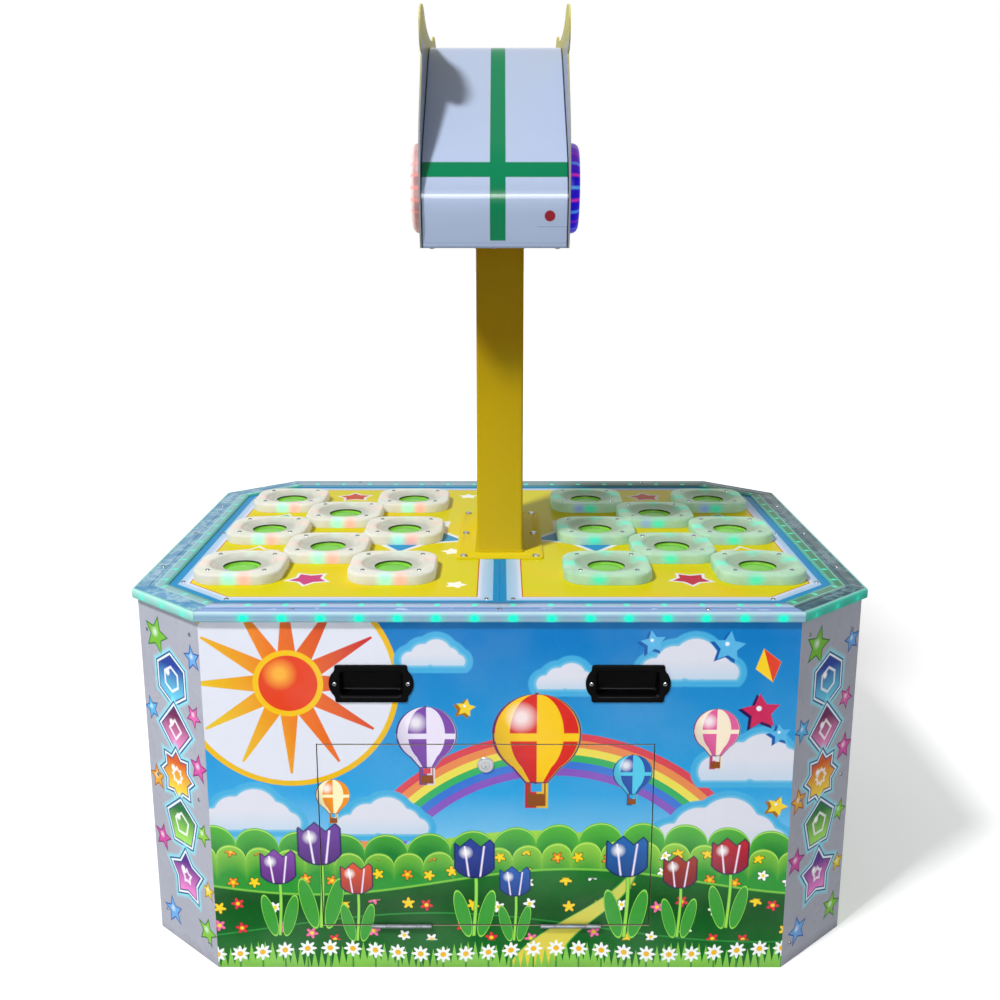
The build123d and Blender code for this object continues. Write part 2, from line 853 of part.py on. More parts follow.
with BuildPart() as hinges_door:
    for x in hinge_places:
        add_leaf(x, door_bottom - hinge_leaf)
        add_knuckle(x, middle_knuckle, door_bottom - hinge_leaf)
        with BuildSketch(hinge_plane(x - middle_knuckle / 2)):
            Circle(hinge_pin_radius + hinge_pin_clearance)
        extrude(amount=middle_knuckle, mode=Mode.SUBTRACT)
finish(hinges_door, "hinges_door")


# Cam lock: body with its flange and nut, and the cylinder that carries the cam
cam_front = panel_thickness + cam_gap + lock_nut
with BuildPart() as lock_body:
    with BuildSketch(front_plane):
        with Locations((door_centre_x, lock_z)):
            RegularPolygon(lock_flange_radius, knob_sides)
    extrude(amount=lock_flange)
    with BuildSketch(front_plane):
        with Locations((door_centre_x, lock_z)):
            RegularPolygon(lock_body_radius, knob_sides)
    extrude(amount=-(cam_front - cam_gap))
    with BuildSketch(front_plane.offset(-door_thickness)):
        with Locations((door_centre_x, lock_z)):
            RegularPolygon(lock_nut_radius, 6)
    extrude(amount=-lock_nut)
    with BuildSketch(front_plane.offset(lock_flange)):
        with Locations((door_centre_x, lock_z)):
            Circle(cylinder_radius + cylinder_clearance)
    extrude(amount=-(lock_flange + cam_front), mode=Mode.SUBTRACT)
finish(lock_body, "lock_body")

with BuildPart() as lock_cylinder:
    with BuildSketch(front_plane.offset(lock_flange)):
        with Locations((door_centre_x, lock_z)):
            Circle(cylinder_radius)
    extrude(amount=-(lock_flange + cam_front + cam_thickness))
    with BuildSketch(front_plane.offset(-cam_front)):
        with Locations((door_centre_x + (cam_length - cam_width) / 2, lock_z)):
            SlotOverall(cam_length, cam_width)
    extrude(amount=-cam_thickness)
    with BuildSketch(front_plane.offset(lock_flange)):
        with Locations((door_centre_x, lock_z)):
            Rectangle(key_slot_width, key_slot_height)
    extrude(amount=-key_slot_depth, mode=Mode.SUBTRACT)
finish(lock_cylinder, "lock_cylinder")


# Start buttons: a bezel with its body, and the lit plunger
with BuildPart() as button_bezels:
    for side in (-1, 1):
        with BuildSketch(end_plane(side)):
            with Locations((0, button_z)):
                RegularPolygon(button_bezel_radius, knob_sides, major_radius=False)
        extrude(amount=button_bezel)
        with BuildSketch(end_plane(side)):
            with Locations((0, button_z)):
                RegularPolygon(button_body_radius, knob_sides, major_radius=False)
        extrude(amount=-button_depth)
        with BuildSketch(end_plane(side).offset(button_bezel)):
            with Locations((0, button_z)):
                RegularPolygon(button_radius + button_clearance, knob_sides, major_radius=False)
        extrude(amount=-(button_bezel + button_depth - button_body_wall), mode=Mode.SUBTRACT)
finish(button_bezels, "button_bezels")

with BuildPart() as plunger:
    with BuildSketch(Plane.XY.offset(button_proud - button_length)):
        RegularPolygon(button_radius, knob_sides, major_radius=False)
    extrude(amount=button_length - button_dome)
    with BuildSketch(Plane.XY.offset(button_proud - button_dome)):
        RegularPolygon(button_radius, knob_sides, major_radius=False)
    extrude(amount=button_dome, taper=degrees(atan2(button_edge, button_dome)))
for side, name in ((-1, "start_button_left"), (1, "start_button_right")):
    with BuildPart() as start_button:
        with Locations(end_plane(side).offset(button_bezel).location * Location((0, button_z, 0))):
            add(plunger.part)
    finish(start_button, name)


# Coin units: slot and reject button above, return cup below
slot_place = (-coin_body_width / 4, coin_z + coin_body_height / 4)
reject_place = (coin_body_width / 4, coin_z + coin_body_height / 4)
return_place = (0, coin_z - coin_body_height / 4)
with BuildPart() as coin_units:
    for side in (-1, 1):
        with BuildSketch(end_plane(side)):
            with Locations((0, coin_z)):
                RectangleRounded(coin_plate_width, coin_plate_height, coin_plate_margin)
        extrude(amount=coin_plate)
        with BuildSketch(end_plane(side)):
            with Locations((0, coin_z)):
                Rectangle(coin_body_width, coin_body_height)
        extrude(amount=-coin_body_depth)
        with BuildSketch(end_plane(side).offset(coin_plate)):
            with Locations(slot_place):
                Rectangle(coin_slot_width, coin_slot_height)
        extrude(amount=-coin_slot_depth, mode=Mode.SUBTRACT)
        with BuildSketch(end_plane(side).offset(coin_plate)):
            with Locations(return_place):
                Rectangle(return_cup_width, return_cup_height)
        extrude(amount=-return_cup_depth, mode=Mode.SUBTRACT)
        with BuildSketch(end_plane(side).offset(coin_plate)):
            with Locations(reject_place):
                RegularPolygon(reject_radius + reject_clearance, bolt_sides, major_radius=False)
        extrude(amount=-reject_bore_depth, mode=Mode.SUBTRACT)
finish(coin_units, "coin_units")

for side, name in ((-1, "coin_return_left"), (1, "coin_return_right")):
    with BuildPart() as coin_return:
        with BuildSketch(end_plane(side).offset(coin_plate + reject_proud)):
            with Locations(reject_place):
                RegularPolygon(reject_radius, bolt_sides, major_radius=False)
        extrude(amount=-reject_length)
    finish(coin_return, name)


# Speakers behind the slots of the end panels, drawn with the rim below and the magnet on top
with BuildPart() as speaker:
    with BuildSketch(Plane.XY):
        RegularPolygon(speaker_radius, knob_sides)
    extrude(amount=speaker_rim)
    basket = speaker_depth - speaker_rim - magnet_height
    with BuildSketch(Plane.XY.offset(speaker_rim)):
        RegularPolygon(speaker_radius - speaker_rim, knob_sides)
    extrude(amount=basket, taper=degrees(atan2(speaker_radius - speaker_rim - magnet_radius, basket)))
    with BuildSketch(Plane.XY.offset(speaker_rim + basket)):
        RegularPolygon(magnet_radius, knob_sides)
    extrude(amount=magnet_height)
with BuildPart() as speakers:
    for side in (-1, 1):
        inward = Plane(
            origin=(side * (end_x - panel_thickness), 0, speaker_z), x_dir=(0, side, 0), z_dir=(-side, 0, 0)
        )
        with Locations(inward.location):
            add(speaker.part)
finish(speakers, "speakers")


# Power inlet with its socket and the window of its switch
with BuildPart() as power_inlet:
    with BuildSketch(back_plane):
        with Locations((-inlet_x, inlet_z)):
            Rectangle(inlet_width, inlet_height)
    extrude(amount=inlet_flange)
    with BuildSketch(back_plane):
        with Locations((-inlet_x, inlet_z)):
            Rectangle(inlet_width - 2 * inlet_margin, inlet_height - 2 * inlet_margin)
    extrude(amount=-inlet_depth)
    with BuildSketch(back_plane.offset(inlet_flange)):
        with Locations((-inlet_x, inlet_z - socket_offset)):
            Rectangle(socket_width, socket_height)
    extrude(amount=-socket_depth, mode=Mode.SUBTRACT)
    with BuildSketch(back_plane.offset(inlet_flange - socket_depth)):
        with Locations((-inlet_x, inlet_z - socket_offset)):
            with GridLocations(pin_pitch, 0, 3, 1):
                Rectangle(pin_size, pin_size)
    extrude(amount=socket_depth - inlet_flange)
    with BuildSketch(back_plane.offset(inlet_flange)):
        with Locations((-inlet_x, inlet_z + rocker_offset)):
            Rectangle(rocker_width + 2 * rocker_clearance, rocker_height + 2 * rocker_clearance)
    extrude(amount=-(rocker_depth + 2 * rocker_clearance), mode=Mode.SUBTRACT)
finish(power_inlet, "power_inlet")

# Rocker of the switch, tilted to its rest position about the flange's plane
rocker_y = -front_y + inlet_flange
rocker_z = inlet_z + rocker_offset
with BuildPart() as rocker_switch:
    half = rocker_height / 2
    tilted = Plane(
        origin=(inlet_x - rocker_width / 2, rocker_y, rocker_z),
        x_dir=(0, cos(radians(rocker_tilt)), sin(radians(rocker_tilt))),
        z_dir=(1, 0, 0),
    )
    with BuildSketch(tilted):
        with BuildLine():
            ThreePointArc((rocker_proud, -half), (rocker_proud / 2, 0), (rocker_proud, half))
            Polyline((rocker_proud, half), (0, half))
            ThreePointArc((0, half), (-rocker_depth, 0), (0, -half))
            Line((0, -half), (rocker_proud, -half))
        make_face()
    extrude(amount=rocker_width)
finish(rocker_switch, "rocker_switch")


# Cash boxes under the coin units, open at the top
with BuildPart() as cash_boxes:
    cash_x = end_x - panel_thickness - cash_box_inset - cash_box_width / 2
    with BuildSketch(Plane.XY.offset(base_top)):
        with GridLocations(2 * cash_x, 0, 2, 1):
            Rectangle(cash_box_width, cash_box_length)
    extrude(amount=cash_box_height)
    with BuildSketch(Plane.XY.offset(base_top + cash_box_wall)):
        with GridLocations(2 * cash_x, 0, 2, 1):
            Rectangle(cash_box_width - 2 * cash_box_wall, cash_box_length - 2 * cash_box_wall)
    extrude(amount=cash_box_height, mode=Mode.SUBTRACT)
finish(cash_boxes, "cash_boxes")

# Power supply, with cooling fins along its top
supply_place = (supply_x, -panel_back_y - supply_to_back - supply_width / 2)
with BuildPart() as power_supply:
    with BuildSketch(Plane.XY.offset(base_top)):
        with Locations(supply_place):
            Rectangle(supply_length, supply_width)
    extrude(amount=supply_height)
    with BuildSketch(Plane.XY.offset(base_top + supply_height)):
        with Locations(supply_place):
            with GridLocations(0, supply_fin_pitch, 1, supply_fin_count):
                Rectangle(supply_length, supply_fin_width)
    extrude(amount=supply_fin_height)
finish(power_supply, "power_supply")

# Control board on four posts, with its chips and a row of connectors
board_y = -panel_back_y - board_to_back - board_width / 2
board_place = (board_x, board_y)
with BuildPart() as control_board:
    with BuildSketch(Plane.XY.offset(base_top)):
        with Locations(board_place):
            with GridLocations(
                board_length - 2 * board_post_margin, board_width - 2 * board_post_margin, 2, 2
            ):
                RegularPolygon(board_post_radius, 6)
    extrude(amount=board_standoff)
    with BuildSketch(Plane.XY.offset(base_top + board_standoff)):
        with Locations(board_place):
            Rectangle(board_length, board_width)
    extrude(amount=board_thickness)
    board_top = base_top + board_standoff + board_thickness
    with BuildSketch(Plane.XY.offset(board_top)):
        with Locations(board_place):
            with GridLocations(2 * chip_size, 0, 2, 1):
                Rectangle(chip_size, chip_size)
    extrude(amount=chip_height)
    with BuildSketch(Plane.XY.offset(board_top)):
        with Locations((board_x, board_y + board_width / 2 - connector_width)):
            with GridLocations(connector_pitch, 0, connector_count, 1):
                Rectangle(connector_length, connector_width)
    extrude(amount=connector_height)
finish(control_board, "control_board")
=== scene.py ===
import math

import bmesh
import bpy
from bpy.props import FloatProperty, FloatVectorProperty, PointerProperty
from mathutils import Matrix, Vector


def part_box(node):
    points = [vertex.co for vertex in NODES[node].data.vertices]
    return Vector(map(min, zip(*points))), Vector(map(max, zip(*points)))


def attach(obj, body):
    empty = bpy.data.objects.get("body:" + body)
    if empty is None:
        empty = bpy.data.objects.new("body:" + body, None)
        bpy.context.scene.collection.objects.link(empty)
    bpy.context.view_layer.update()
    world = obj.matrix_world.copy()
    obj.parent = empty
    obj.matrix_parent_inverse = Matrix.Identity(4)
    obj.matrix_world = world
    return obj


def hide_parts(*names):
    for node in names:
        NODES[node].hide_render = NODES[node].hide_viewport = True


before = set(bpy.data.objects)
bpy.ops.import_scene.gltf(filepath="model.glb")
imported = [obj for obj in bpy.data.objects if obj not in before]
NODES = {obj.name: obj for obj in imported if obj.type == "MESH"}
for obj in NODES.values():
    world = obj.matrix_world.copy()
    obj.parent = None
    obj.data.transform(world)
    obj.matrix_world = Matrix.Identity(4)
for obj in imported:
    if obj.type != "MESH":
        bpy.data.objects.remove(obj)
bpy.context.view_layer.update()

bl_info = {
    "name": "Mole pounding table",
    "version": (1, 0, 0),
    "blender": (4, 5, 0),
    "location": "3D View > Sidebar > Mole table",
    "description": "Dresses the octagonal mole pounding table: prints, lit collars, moles, grips, head and stage",
    "category": "Object",
}

MM = 0.001
HALF_LENGTH, HALF_DEPTH = 676, 525          # outline of the edge trim
CUT_LONG, CUT_DEEP = 148, 137               # its corner cuts
COVER_TOP, TRIM_TOP, COLLAR_TOP = 697, 700, 718
FRONT = -519                                # outer face of the front panel
CORNER_X, CORNER_Y = 595.75, 450.05         # middle of a corner panel, in plan
CORNER_RUN, CORNER_DROP = 142.5, 131.9      # its direction
LAMP_PITCH = 66.6                           # lamps of the edge strip
GRIP_X, GRIP_Z = 225.6, 566                 # middle of a recessed grip
LOCK_X, LOCK_Z = -25, 411
BUTTON_X, BUTTON_Z = 667, 585               # start buttons of the two ends
HEAD_BOTTOM, RING_Z = 1309, 1419            # the head's lower edge, and the middle of its lamp rings
HEAD_X = sum(corner.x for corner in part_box("head_wrap")) * 500      # middle of the head, a little left of the pillar
MOLES = [(205, -277.6), (496, -277.6), (350.5, -138.8), (205, 0), (496, 0), (350.5, 138.8), (205, 277.6), (496, 277.6)]
SIDES = {"left": -1, "right": 1}
UP = (0, 0, 1)


# ---------------------------------------------------------------- colours and inks

def rgb(code):
    """A hex colour as the linear values that a shader takes."""
    parts = [int(code[i:i + 2], 16) / 255 for i in (0, 2, 4)]
    return (*[p / 12.92 if p <= 0.04045 else ((p + 0.055) / 1.055) ** 2.4 for p in parts], 1.0)


def plug(tree, socket, value):
    """Links or sets one input of a node."""
    if isinstance(value, Ink):
        tree.links.new(value.socket, socket)
    elif isinstance(value, bpy.types.NodeSocket):
        tree.links.new(value, socket)
    elif isinstance(value, str) and socket.type == "RGBA":
        socket.default_value = rgb(value)
    else:
        socket.default_value = value


def node(tree, kind, inputs=None, **settings):
    """A new node with its settings and inputs."""
    made = tree.nodes.new(kind)
    for key, value in settings.items():
        setattr(made, key, value)
    for key, value in (inputs or {}).items():
        plug(tree, made.inputs[key], value)
    return made


class Ink:
    """A number that a node tree works out at each point of a surface."""

    def __init__(self, socket):
        self.socket, self.tree = socket, socket.id_data

    def calc(self, what, *others, clamp=False):
        made = node(self.tree, "ShaderNodeMath", dict(enumerate((self, *others))), operation=what)
        if clamp:
            made = node(self.tree, "ShaderNodeClamp", {0: made.outputs[0]})
        return Ink(made.outputs[0])

    def __add__(self, other): return self.calc("ADD", other)
    def __sub__(self, other): return self.calc("SUBTRACT", other)
    def __rsub__(self, other): return self.calc("MULTIPLY_ADD", -1, other)
    def __mul__(self, other): return self.calc("MULTIPLY", other)
    def __truediv__(self, other): return self.calc("DIVIDE", other)
    def __neg__(self): return self.calc("MULTIPLY", -1)
    def __abs__(self): return self.calc("ABSOLUTE")
    __radd__, __rmul__ = __add__, __mul__
    def sin(self): return self.calc("SINE")
    def cos(self): return self.calc("COSINE")
    def sign(self): return self.calc("SIGN")
    def root(self): return self.calc("MAXIMUM", 0).calc("SQRT")
    def least(self, other): return self.calc("MINIMUM", other)
    def most(self, other): return self.calc("MAXIMUM", other)
    def below(self, other): return self.calc("LESS_THAN", other)
    def above(self, other): return self.calc("GREATER_THAN", other)
    def fold(self, size): return self.calc("PINGPONG", size)

    def inside(self, soft=1.4):
        """1 where this distance is below nought, with a soft edge."""
        return self.calc("MULTIPLY_ADD", -1 / soft, 0.5, clamp=True)

    def line(self, half, soft=1.4):
        """1 in a line along this distance's nought."""
        return (abs(self) - half).inside(soft)

    def cell(self, size):
        """Distance from the middle of the nearest cell of that size."""
        return (self / size).calc("FRACT") * size - size / 2


class Layers:
    """Colours laid over one another. A plain ground colour needs its tree named."""

    def __init__(self, ground, tree=None):
        self.top, self.tree = ground, tree or ground.id_data

    def lay(self, cover, colour):
        self.top = node(self.tree, "ShaderNodeMix", {0: cover, 6: self.top, 7: colour}, data_type="RGBA").outputs[2]


def split(vector):
    made = node(vector.id_data, "ShaderNodeSeparateXYZ", {0: vector})
    return [Ink(made.outputs[i]) for i in range(3)]


def join(x=0.0, y=0.0, z=0.0):
    tree = next(part.tree for part in (x, y, z) if isinstance(part, Ink))
    return node(tree, "ShaderNodeCombineXYZ", {0: x, 1: y, 2: z}).outputs[0]


def shift(vector, what, value):
    """A vector put through one operation with a second value."""
    key = "Scale" if what == "SCALE" else 1
    return node(vector.id_data, "ShaderNodeVectorMath", {0: vector, key: value}, operation=what).outputs[0]


def away(vector, x=0.0, y=0.0, z=0.0):
    """Distance of a point from a fixed spot."""
    made = node(vector.id_data, "ShaderNodeVectorMath", {0: vector, 1: (x, y, z)}, operation="DISTANCE")
    return Ink(made.outputs["Value"])


def ramp(value, stops, steps=False):
    """A colour that runs, or steps, over (place, colour) stops."""
    made = node(value.tree, "ShaderNodeValToRGB", {0: value})
    band = made.color_ramp
    band.interpolation = "CONSTANT" if steps else "LINEAR"
    while len(band.elements) < len(stops):
        band.elements.new(0.5)
    for stop, (place, colour) in zip(band.elements, stops):
        stop.position = place
    for stop, (place, colour) in zip(band.elements, stops):
        stop.color = rgb(colour)
    return made.outputs[0]


def noise(vector, scale, detail=2.0, rough=0.5):
    inputs = {"Vector": vector, "Scale": scale, "Detail": detail, "Roughness": rough}
    return Ink(node(vector.id_data, "ShaderNodeTexNoise", inputs).outputs[0])


def span(value, low, high):
    """0 at low, 1 at high."""
    return value.calc("MULTIPLY_ADD", 1 / (high - low), -low / (high - low), clamp=True)


# ---------------------------------------------------------------- printed motifs

def stamp(draw, outputs, **inputs):
    """The outputs of a printed motif. Its node group is drawn the first time it is asked for."""
    name = draw.__name__.removeprefix("draw_")
    group = bpy.data.node_groups.get(name)
    if group is None:
        group = bpy.data.node_groups.new(name, "ShaderNodeTree")
        for label, value in inputs.items():
            kind = "Vector" if label in ("Point", "Centre") else "Color" if isinstance(value, str) else "Float"
            group.interface.new_socket(label, in_out="INPUT", socket_type="NodeSocket" + kind)
        for label, kind in outputs.items():
            group.interface.new_socket(label, in_out="OUTPUT", socket_type="NodeSocket" + kind)
        start, end = group.nodes.new("NodeGroupInput"), group.nodes.new("NodeGroupOutput")
        for socket, value in zip(end.inputs, draw(*inked(start.outputs[:len(inputs)]))):
            plug(group, socket, value)
    return inked(node(inputs["Point"].id_data, "ShaderNodeGroup", inputs, node_tree=group).outputs)


def inked(sockets):
    return [Ink(socket) if socket.type == "VALUE" else socket for socket in sockets]


def star(point, x, y, size, turn, tips=5, fat=0.5):
    """Distance from the outline of a star, or with a fat of cos(pi/tips) of a regular polygon."""
    return stamp(draw_star, {"Distance": "Float"}, Point=point, Centre=(x, y, 0), Size=size,
                 Turn=math.radians(turn), Tips=tips, Fat=fat)[0]


def draw_star(point, centre, size, turn, tips, fat):
    x, y, _ = split(shift(point, "SUBTRACT", centre))
    wedge = (tips / math.pi).calc("POWER", -1)
    angle = (y.calc("ARCTAN2", x) - turn).fold(wedge)
    reach = (x * x + y * y).root()
    across, up = reach * angle.cos(), reach * angle.sin()
    inner_x, inner_y = fat * wedge.cos(), fat * wedge.sin()
    long = (inner_y * inner_y + (1 - inner_x) * (1 - inner_x)).root()
    return (((across - size) * inner_y + up * (1 - inner_x)) / long,)


def draw_cloud(point, centre, size):
    place = shift(shift(point, "SUBTRACT", centre), "DIVIDE", join(size, size, size))
    puff = away(place, -0.95, -0.02) - 0.4
    for x, y, r in ((-0.4, 0.22, 0.52), (0.2, 0.34, 0.62), (0.72, 0.12, 0.46), (1.12, -0.06, 0.32)):
        puff = puff.calc("SMOOTH_MIN", away(place, x, y) - r, 0.08)
    _, up, _ = split(place)
    return puff.most(-0.26 - up) * size, span(up, -0.3, 0.7)


def cloud(point, x, y, size):
    """Distance from a cloud's outline, and the height in it."""
    return stamp(draw_cloud, {"Distance": "Float", "Height": "Float"}, Point=point, Centre=(x, y, 0), Size=size)


def draw_balloon(point, centre, size, colour, second):
    x, y, _ = split(shift(point, "SUBTRACT", centre))
    x, y = x / size, y / size
    lower = (1.216 + y * 0.797).least(1) * y.below(-0.35)
    wide = (1 - y * y).root().most(lower * (1 - (-1.25 - y).sign().most(0)))
    body = (abs(x) - wide).most(-1.22 - y).most(y - 0.99)
    gore = (x / (wide + 0.001)).calc("ARCSINE") * 4.6
    page = Layers(colour)
    page.lay(gore.sin().calc("MULTIPLY_ADD", 8, 0.5, clamp=True), second)
    page.lay((abs(y + 0.08) - 0.1).inside(0.03), second)
    page.lay(span(x + y * 0.6, -0.4, -1.3) * 0.35, "1C1C50")
    page.lay((away(join(x, y), -0.36, 0.42) - 0.26).inside(0.3) * 0.75, "FFFFFF")
    basket = (abs(x) - 0.22).most(abs(y + 1.68) - 0.16)
    ropes = (abs(abs(x) - 0.2) - 0.02).most(abs(y + 1.38) - 0.16)
    page.lay((body - 0.05).inside(0.04) * (1 - body.inside(0.04)), "20306C")
    page.lay(basket.least(ropes).inside(0.03), "8A4A1C")
    return page.top, (body.least(basket).least(ropes) - 0.05).inside(0.03)


def draw_tulip(point, centre, size, colour):
    x, y, _ = split(shift(point, "SUBTRACT", centre))
    x, y = x / size, y / size
    spot = join(x, y)
    zigzag = (x + 0.5).fold(0.36) * 0.9
    cup = (away(spot, 0, -0.05) - 0.86).most(y - 0.34 - zigzag).most(abs(x) - 0.72)
    stem = (abs(x + (y * 1.2).sin() * 0.06) - 0.07).most(y + 0.7).most(-3.2 - y)
    leaf = away(join((abs(x) - 0.42 - (y + 2.3) * 0.22) * 3.6, y + 2.3)) - 0.95
    page = Layers(colour)
    page.lay(span(y, 0.6, -0.9) * 0.55, "1A0C40")
    page.lay((abs(abs(x) - 0.3 - y * 0.12) - 0.03).inside(0.04) * y.below(0.35), "F4E8FF")
    page.lay((away(spot, -0.3, 0.1) - 0.17).inside(0.2) * 0.8, "FFFFFF")
    page.lay((cup + 0.05).calc("MULTIPLY_ADD", 20, 0.5, clamp=True), "141850")
    page.lay(leaf.least(stem).inside(0.04) * (1 - cup.inside(0.04)), "3C9C38")
    page.lay((leaf.least(stem) + 0.05).line(0.03, 0.03) * (1 - cup.inside(0.04)), "9AE050")
    return page.top, cup.least(stem).least(leaf).inside(0.04)


def figure(page, draw, point, x, y, size, **tints):
    """Lays a motif with a colour and a cover of its own."""
    outputs = {"Colour": "Color", "Cover": "Float"}
    top, cover = stamp(draw, outputs, Point=point, Centre=(x, y, 0), Size=size, **tints)
    page.lay(cover, top)


def flowers(page, x, y, where, cell, radius, petals, stops):
    """Flowers strewn over the cells of a jittered grid."""
    spot = join(x / cell, y / cell)
    made = node(page.tree, "ShaderNodeTexVoronoi", {"Vector": spot, "Scale": 1.0, "Randomness": 0.55},
                voronoi_dimensions="2D")
    dx, dy, _ = split(shift(spot, "SUBTRACT", made.outputs["Position"]))
    lot = node(page.tree, "ShaderNodeSeparateColor", {0: made.outputs["Color"]})
    tone, turn = Ink(lot.outputs[0]), Ink(lot.outputs[1])
    reach = (dx * dx + dy * dy).root() * cell
    petal = reach - radius * (0.74 + ((dy.calc("ARCTAN2", dx) + turn * 6) * petals).cos() * 0.26)
    page.lay((petal - 1.6).inside() * where, "10401C")
    page.lay(petal.inside() * where, ramp(tone, stops, steps=True))
    page.lay((reach - radius * 0.3).inside() * where, "F8D820")


def draw_park(point):
    u, v, _ = split(point)
    page = Layers(ramp(v / 682, [(0.3, "90D0F0"), (0.52, "2CA0DC"), (0.95, "0878C0")]))
    # sunburst in the upper corner
    sun = away(point, -372, 566)
    angle = (v - 566).calc("ARCTAN2", u + 372)
    page.lay((sun - 196).inside(), "E8B810")
    page.lay((sun - 186).inside(), "DCE0EC")
    beam = angle.fold(math.pi / 12) * sun - (190 - sun) * 0.12
    page.lay(beam.inside() * (sun - 172).inside(),
             ramp(span(u + v * 0.4, -340, 60), [(0.1, "E8C020"), (0.5, "E87020"), (0.9, "C82420")]))
    page.lay((sun - 62).inside(), "F0C018")
    page.lay((sun - 52).inside(), "E0401C")
    page.lay((away(point, -386, 584) - 20).inside(24), "F8B040")
    # rainbow
    bow = away(point, 96, 60)
    page.lay((abs(bow - 372) - 42).inside() * 0.9, ramp(span(bow, 330, 414), [
        (0, "8A48B8"), (0.17, "3C70D0"), (0.34, "38B048"), (0.5, "F4E030"), (0.67, "F08820"), (0.84, "E03028")],
        steps=True))
    # clouds
    for x, y, size in (
            (330, 590, 62), (118, 566, 40), (455, 400, 74), (-118, 610, 40), (396, 262, 88), (-455, 300, 66),
            (-215, 290, 60)):
        puff, height = cloud(point, x, y, size)
        page.lay((puff - 14).inside(3), "44ACDC")
        page.lay((puff - 4).inside(3), "6CBCE0")
        page.lay(puff.inside(2), ramp(height, [(0, "C0D4E8"), (0.6, "DADCE8")]))
    # stars
    for x, y, size, turn, colour, shade in (
            (400, 634, 30, 84, "58B4E4", "1058A8"), (268, 642, 23, 100, "58B4E4", "1058A8"),
            (462, 512, 36, 96, "C82458", "2C0C50"), (-60, 520, 18, 80, "F0D038", "A06810"),
            (500, 330, 20, 70, "F0D038", "A06810"), (498, 470, 20, 100, "58B4E4", "1058A8")):
        page.lay(star(point, x - 5, y - 3, size + 2, turn).inside(), shade)
        page.lay(star(point, x, y, size, turn).inside(), colour)
        page.lay((away(point, x - size * 0.12, y + size * 0.2) - size * 0.13).inside(2), "E8F0FC")
    # balloons
    for x, y, size, tint, second in (
            (66, 470, 76, "D82820", "F8C818"), (-130, 470, 52, "7C48A8", "E8E0F4"), (385, 478, 40, "E0609C", "F8E8D0"),
            (238, 396, 34, "1C50A8", "50C8E8"), (-300, 352, 30, "F09020", "F8F0C0")):
        figure(page, draw_balloon, point, x, y, size, Tint=tint, Second=second)
    # kite
    kx, ky = u - 470, v - 600
    across = kx + ky * 0.3
    kite = abs(across) / 24 + abs(ky - kx * 0.3) / 34 - 1
    page.lay((kite * 20).inside(2), "F8D028")
    page.lay((kite * 20).inside(2) * across.calc("MULTIPLY_ADD", 1, 0.5, clamp=True), "E04028")
    # far meadow, bushes and hills
    far = v - 262 - (u / 118 + 1).sin() * 20
    page.lay(far.inside(2), ramp(span(v, 170, 285), [(0, "3C9C34"), (1, "A4D84C")]))
    for cell, height, shift_by, low, high, rise in (
            (78, 36, 12, "1C7C34", "58B840", 250), (54, 26, 31, "2C9434", "90CC48", 222)):
        arch = (u + shift_by).cell(cell) / (cell / 2)
        bulge = (1 - arch * arch).root() * height
        bush = v - rise - (u / 140).sin() * 12 - bulge
        page.lay(bush.inside(2), ramp(span(v - bulge, rise - 50, rise + 8), [(0, low), (1, high)]))
        page.lay((bush + 3).line(1.2) * 0.7, "C8F070")
    flowers(page, u, v + 9, (bush + 12).inside(4) * (150 - v).inside(4), 46, 11, 5,
            [(0, "F8D020"), (0.5, "F09020"), (0.8, "FFFFFF")])
    near = v - 176 - (u / 150 + 0.7).sin() * 26
    page.lay((near - 4).inside(), "7CC848")
    page.lay(near.inside(3), ramp(span(v + (u / 60).sin() * 12, 20, 210),
                                  [(0, "0C6A24"), (0.6, "085018"), (1, "1A7428")]))
    page.lay((v - 84 - (u / 190 + 2.2).sin() * 30).line(1.6) * 0.8, "2E9440")
    # winding path
    bend = u - 60 - v * 0.9 + (v / 34).sin() * 16
    path = (abs(bend) - (46 - v * 0.21)).most(near)
    page.lay((path - 3).inside(), "3CA040")
    page.lay(path.inside(2), ramp(span(v, 0, 180), [(0, "E8D048"), (1, "C8D060")]))
    flowers(page, u + 20, v, (near + 16).inside(3) * (58 - v).inside(3) * (4 - path).inside(3), 58, 12, 5,
            [(0, "E03440"), (0.3, "F8F8F8"), (0.55, "F070A8"), (0.75, "F8D028")])
    # tulips
    for x, y, size, tint in (
            (-405, 214, 46, "8448A8"), (-328, 262, 56, "7040A0"), (-262, 190, 42, "E05838"), (-46, 232, 52, "24409C"),
            (28, 184, 40, "2C60B8"), (232, 236, 54, "2868B4"), (330, 204, 44, "A83C28"), (420, 236, 48, "C02C34")):
        figure(page, draw_tulip, point, x, y, size, Tint=tint)
    # grass and daisies along the foot
    blade = u.cell(13)
    page.lay((v - 46 + abs(blade) * 6 + (u / 31).sin() * 9).inside(2), "84C850")
    daisy = u.cell(42)
    spot = join(daisy, v - 34 - (u / 67).sin() * 7)
    dx, dy, _ = split(spot)
    reach = (dx * dx + dy * dy).root()
    petal = reach - 17 * (0.78 + (dy.calc("ARCTAN2", dx) * 8).cos() * 0.22)
    page.lay((abs(dx) - 1.6).most(dy).inside(), "3C8C30")
    page.lay(petal.inside(), "F4F6F8")
    page.lay((reach - 5.4).inside(), "F0B820")
    page.lay(span(noise(point, 0.006, 3), 0.4, 0.8) * 0.05, "FFFFFF")
    return (page.top,)


def park(u, v):
    """The garden over a panel's two directions, in millimetres."""
    return stamp(draw_park, {"Colour": "Color"}, Point=join(u, v))[0]


# ---------------------------------------------------------------- finishes

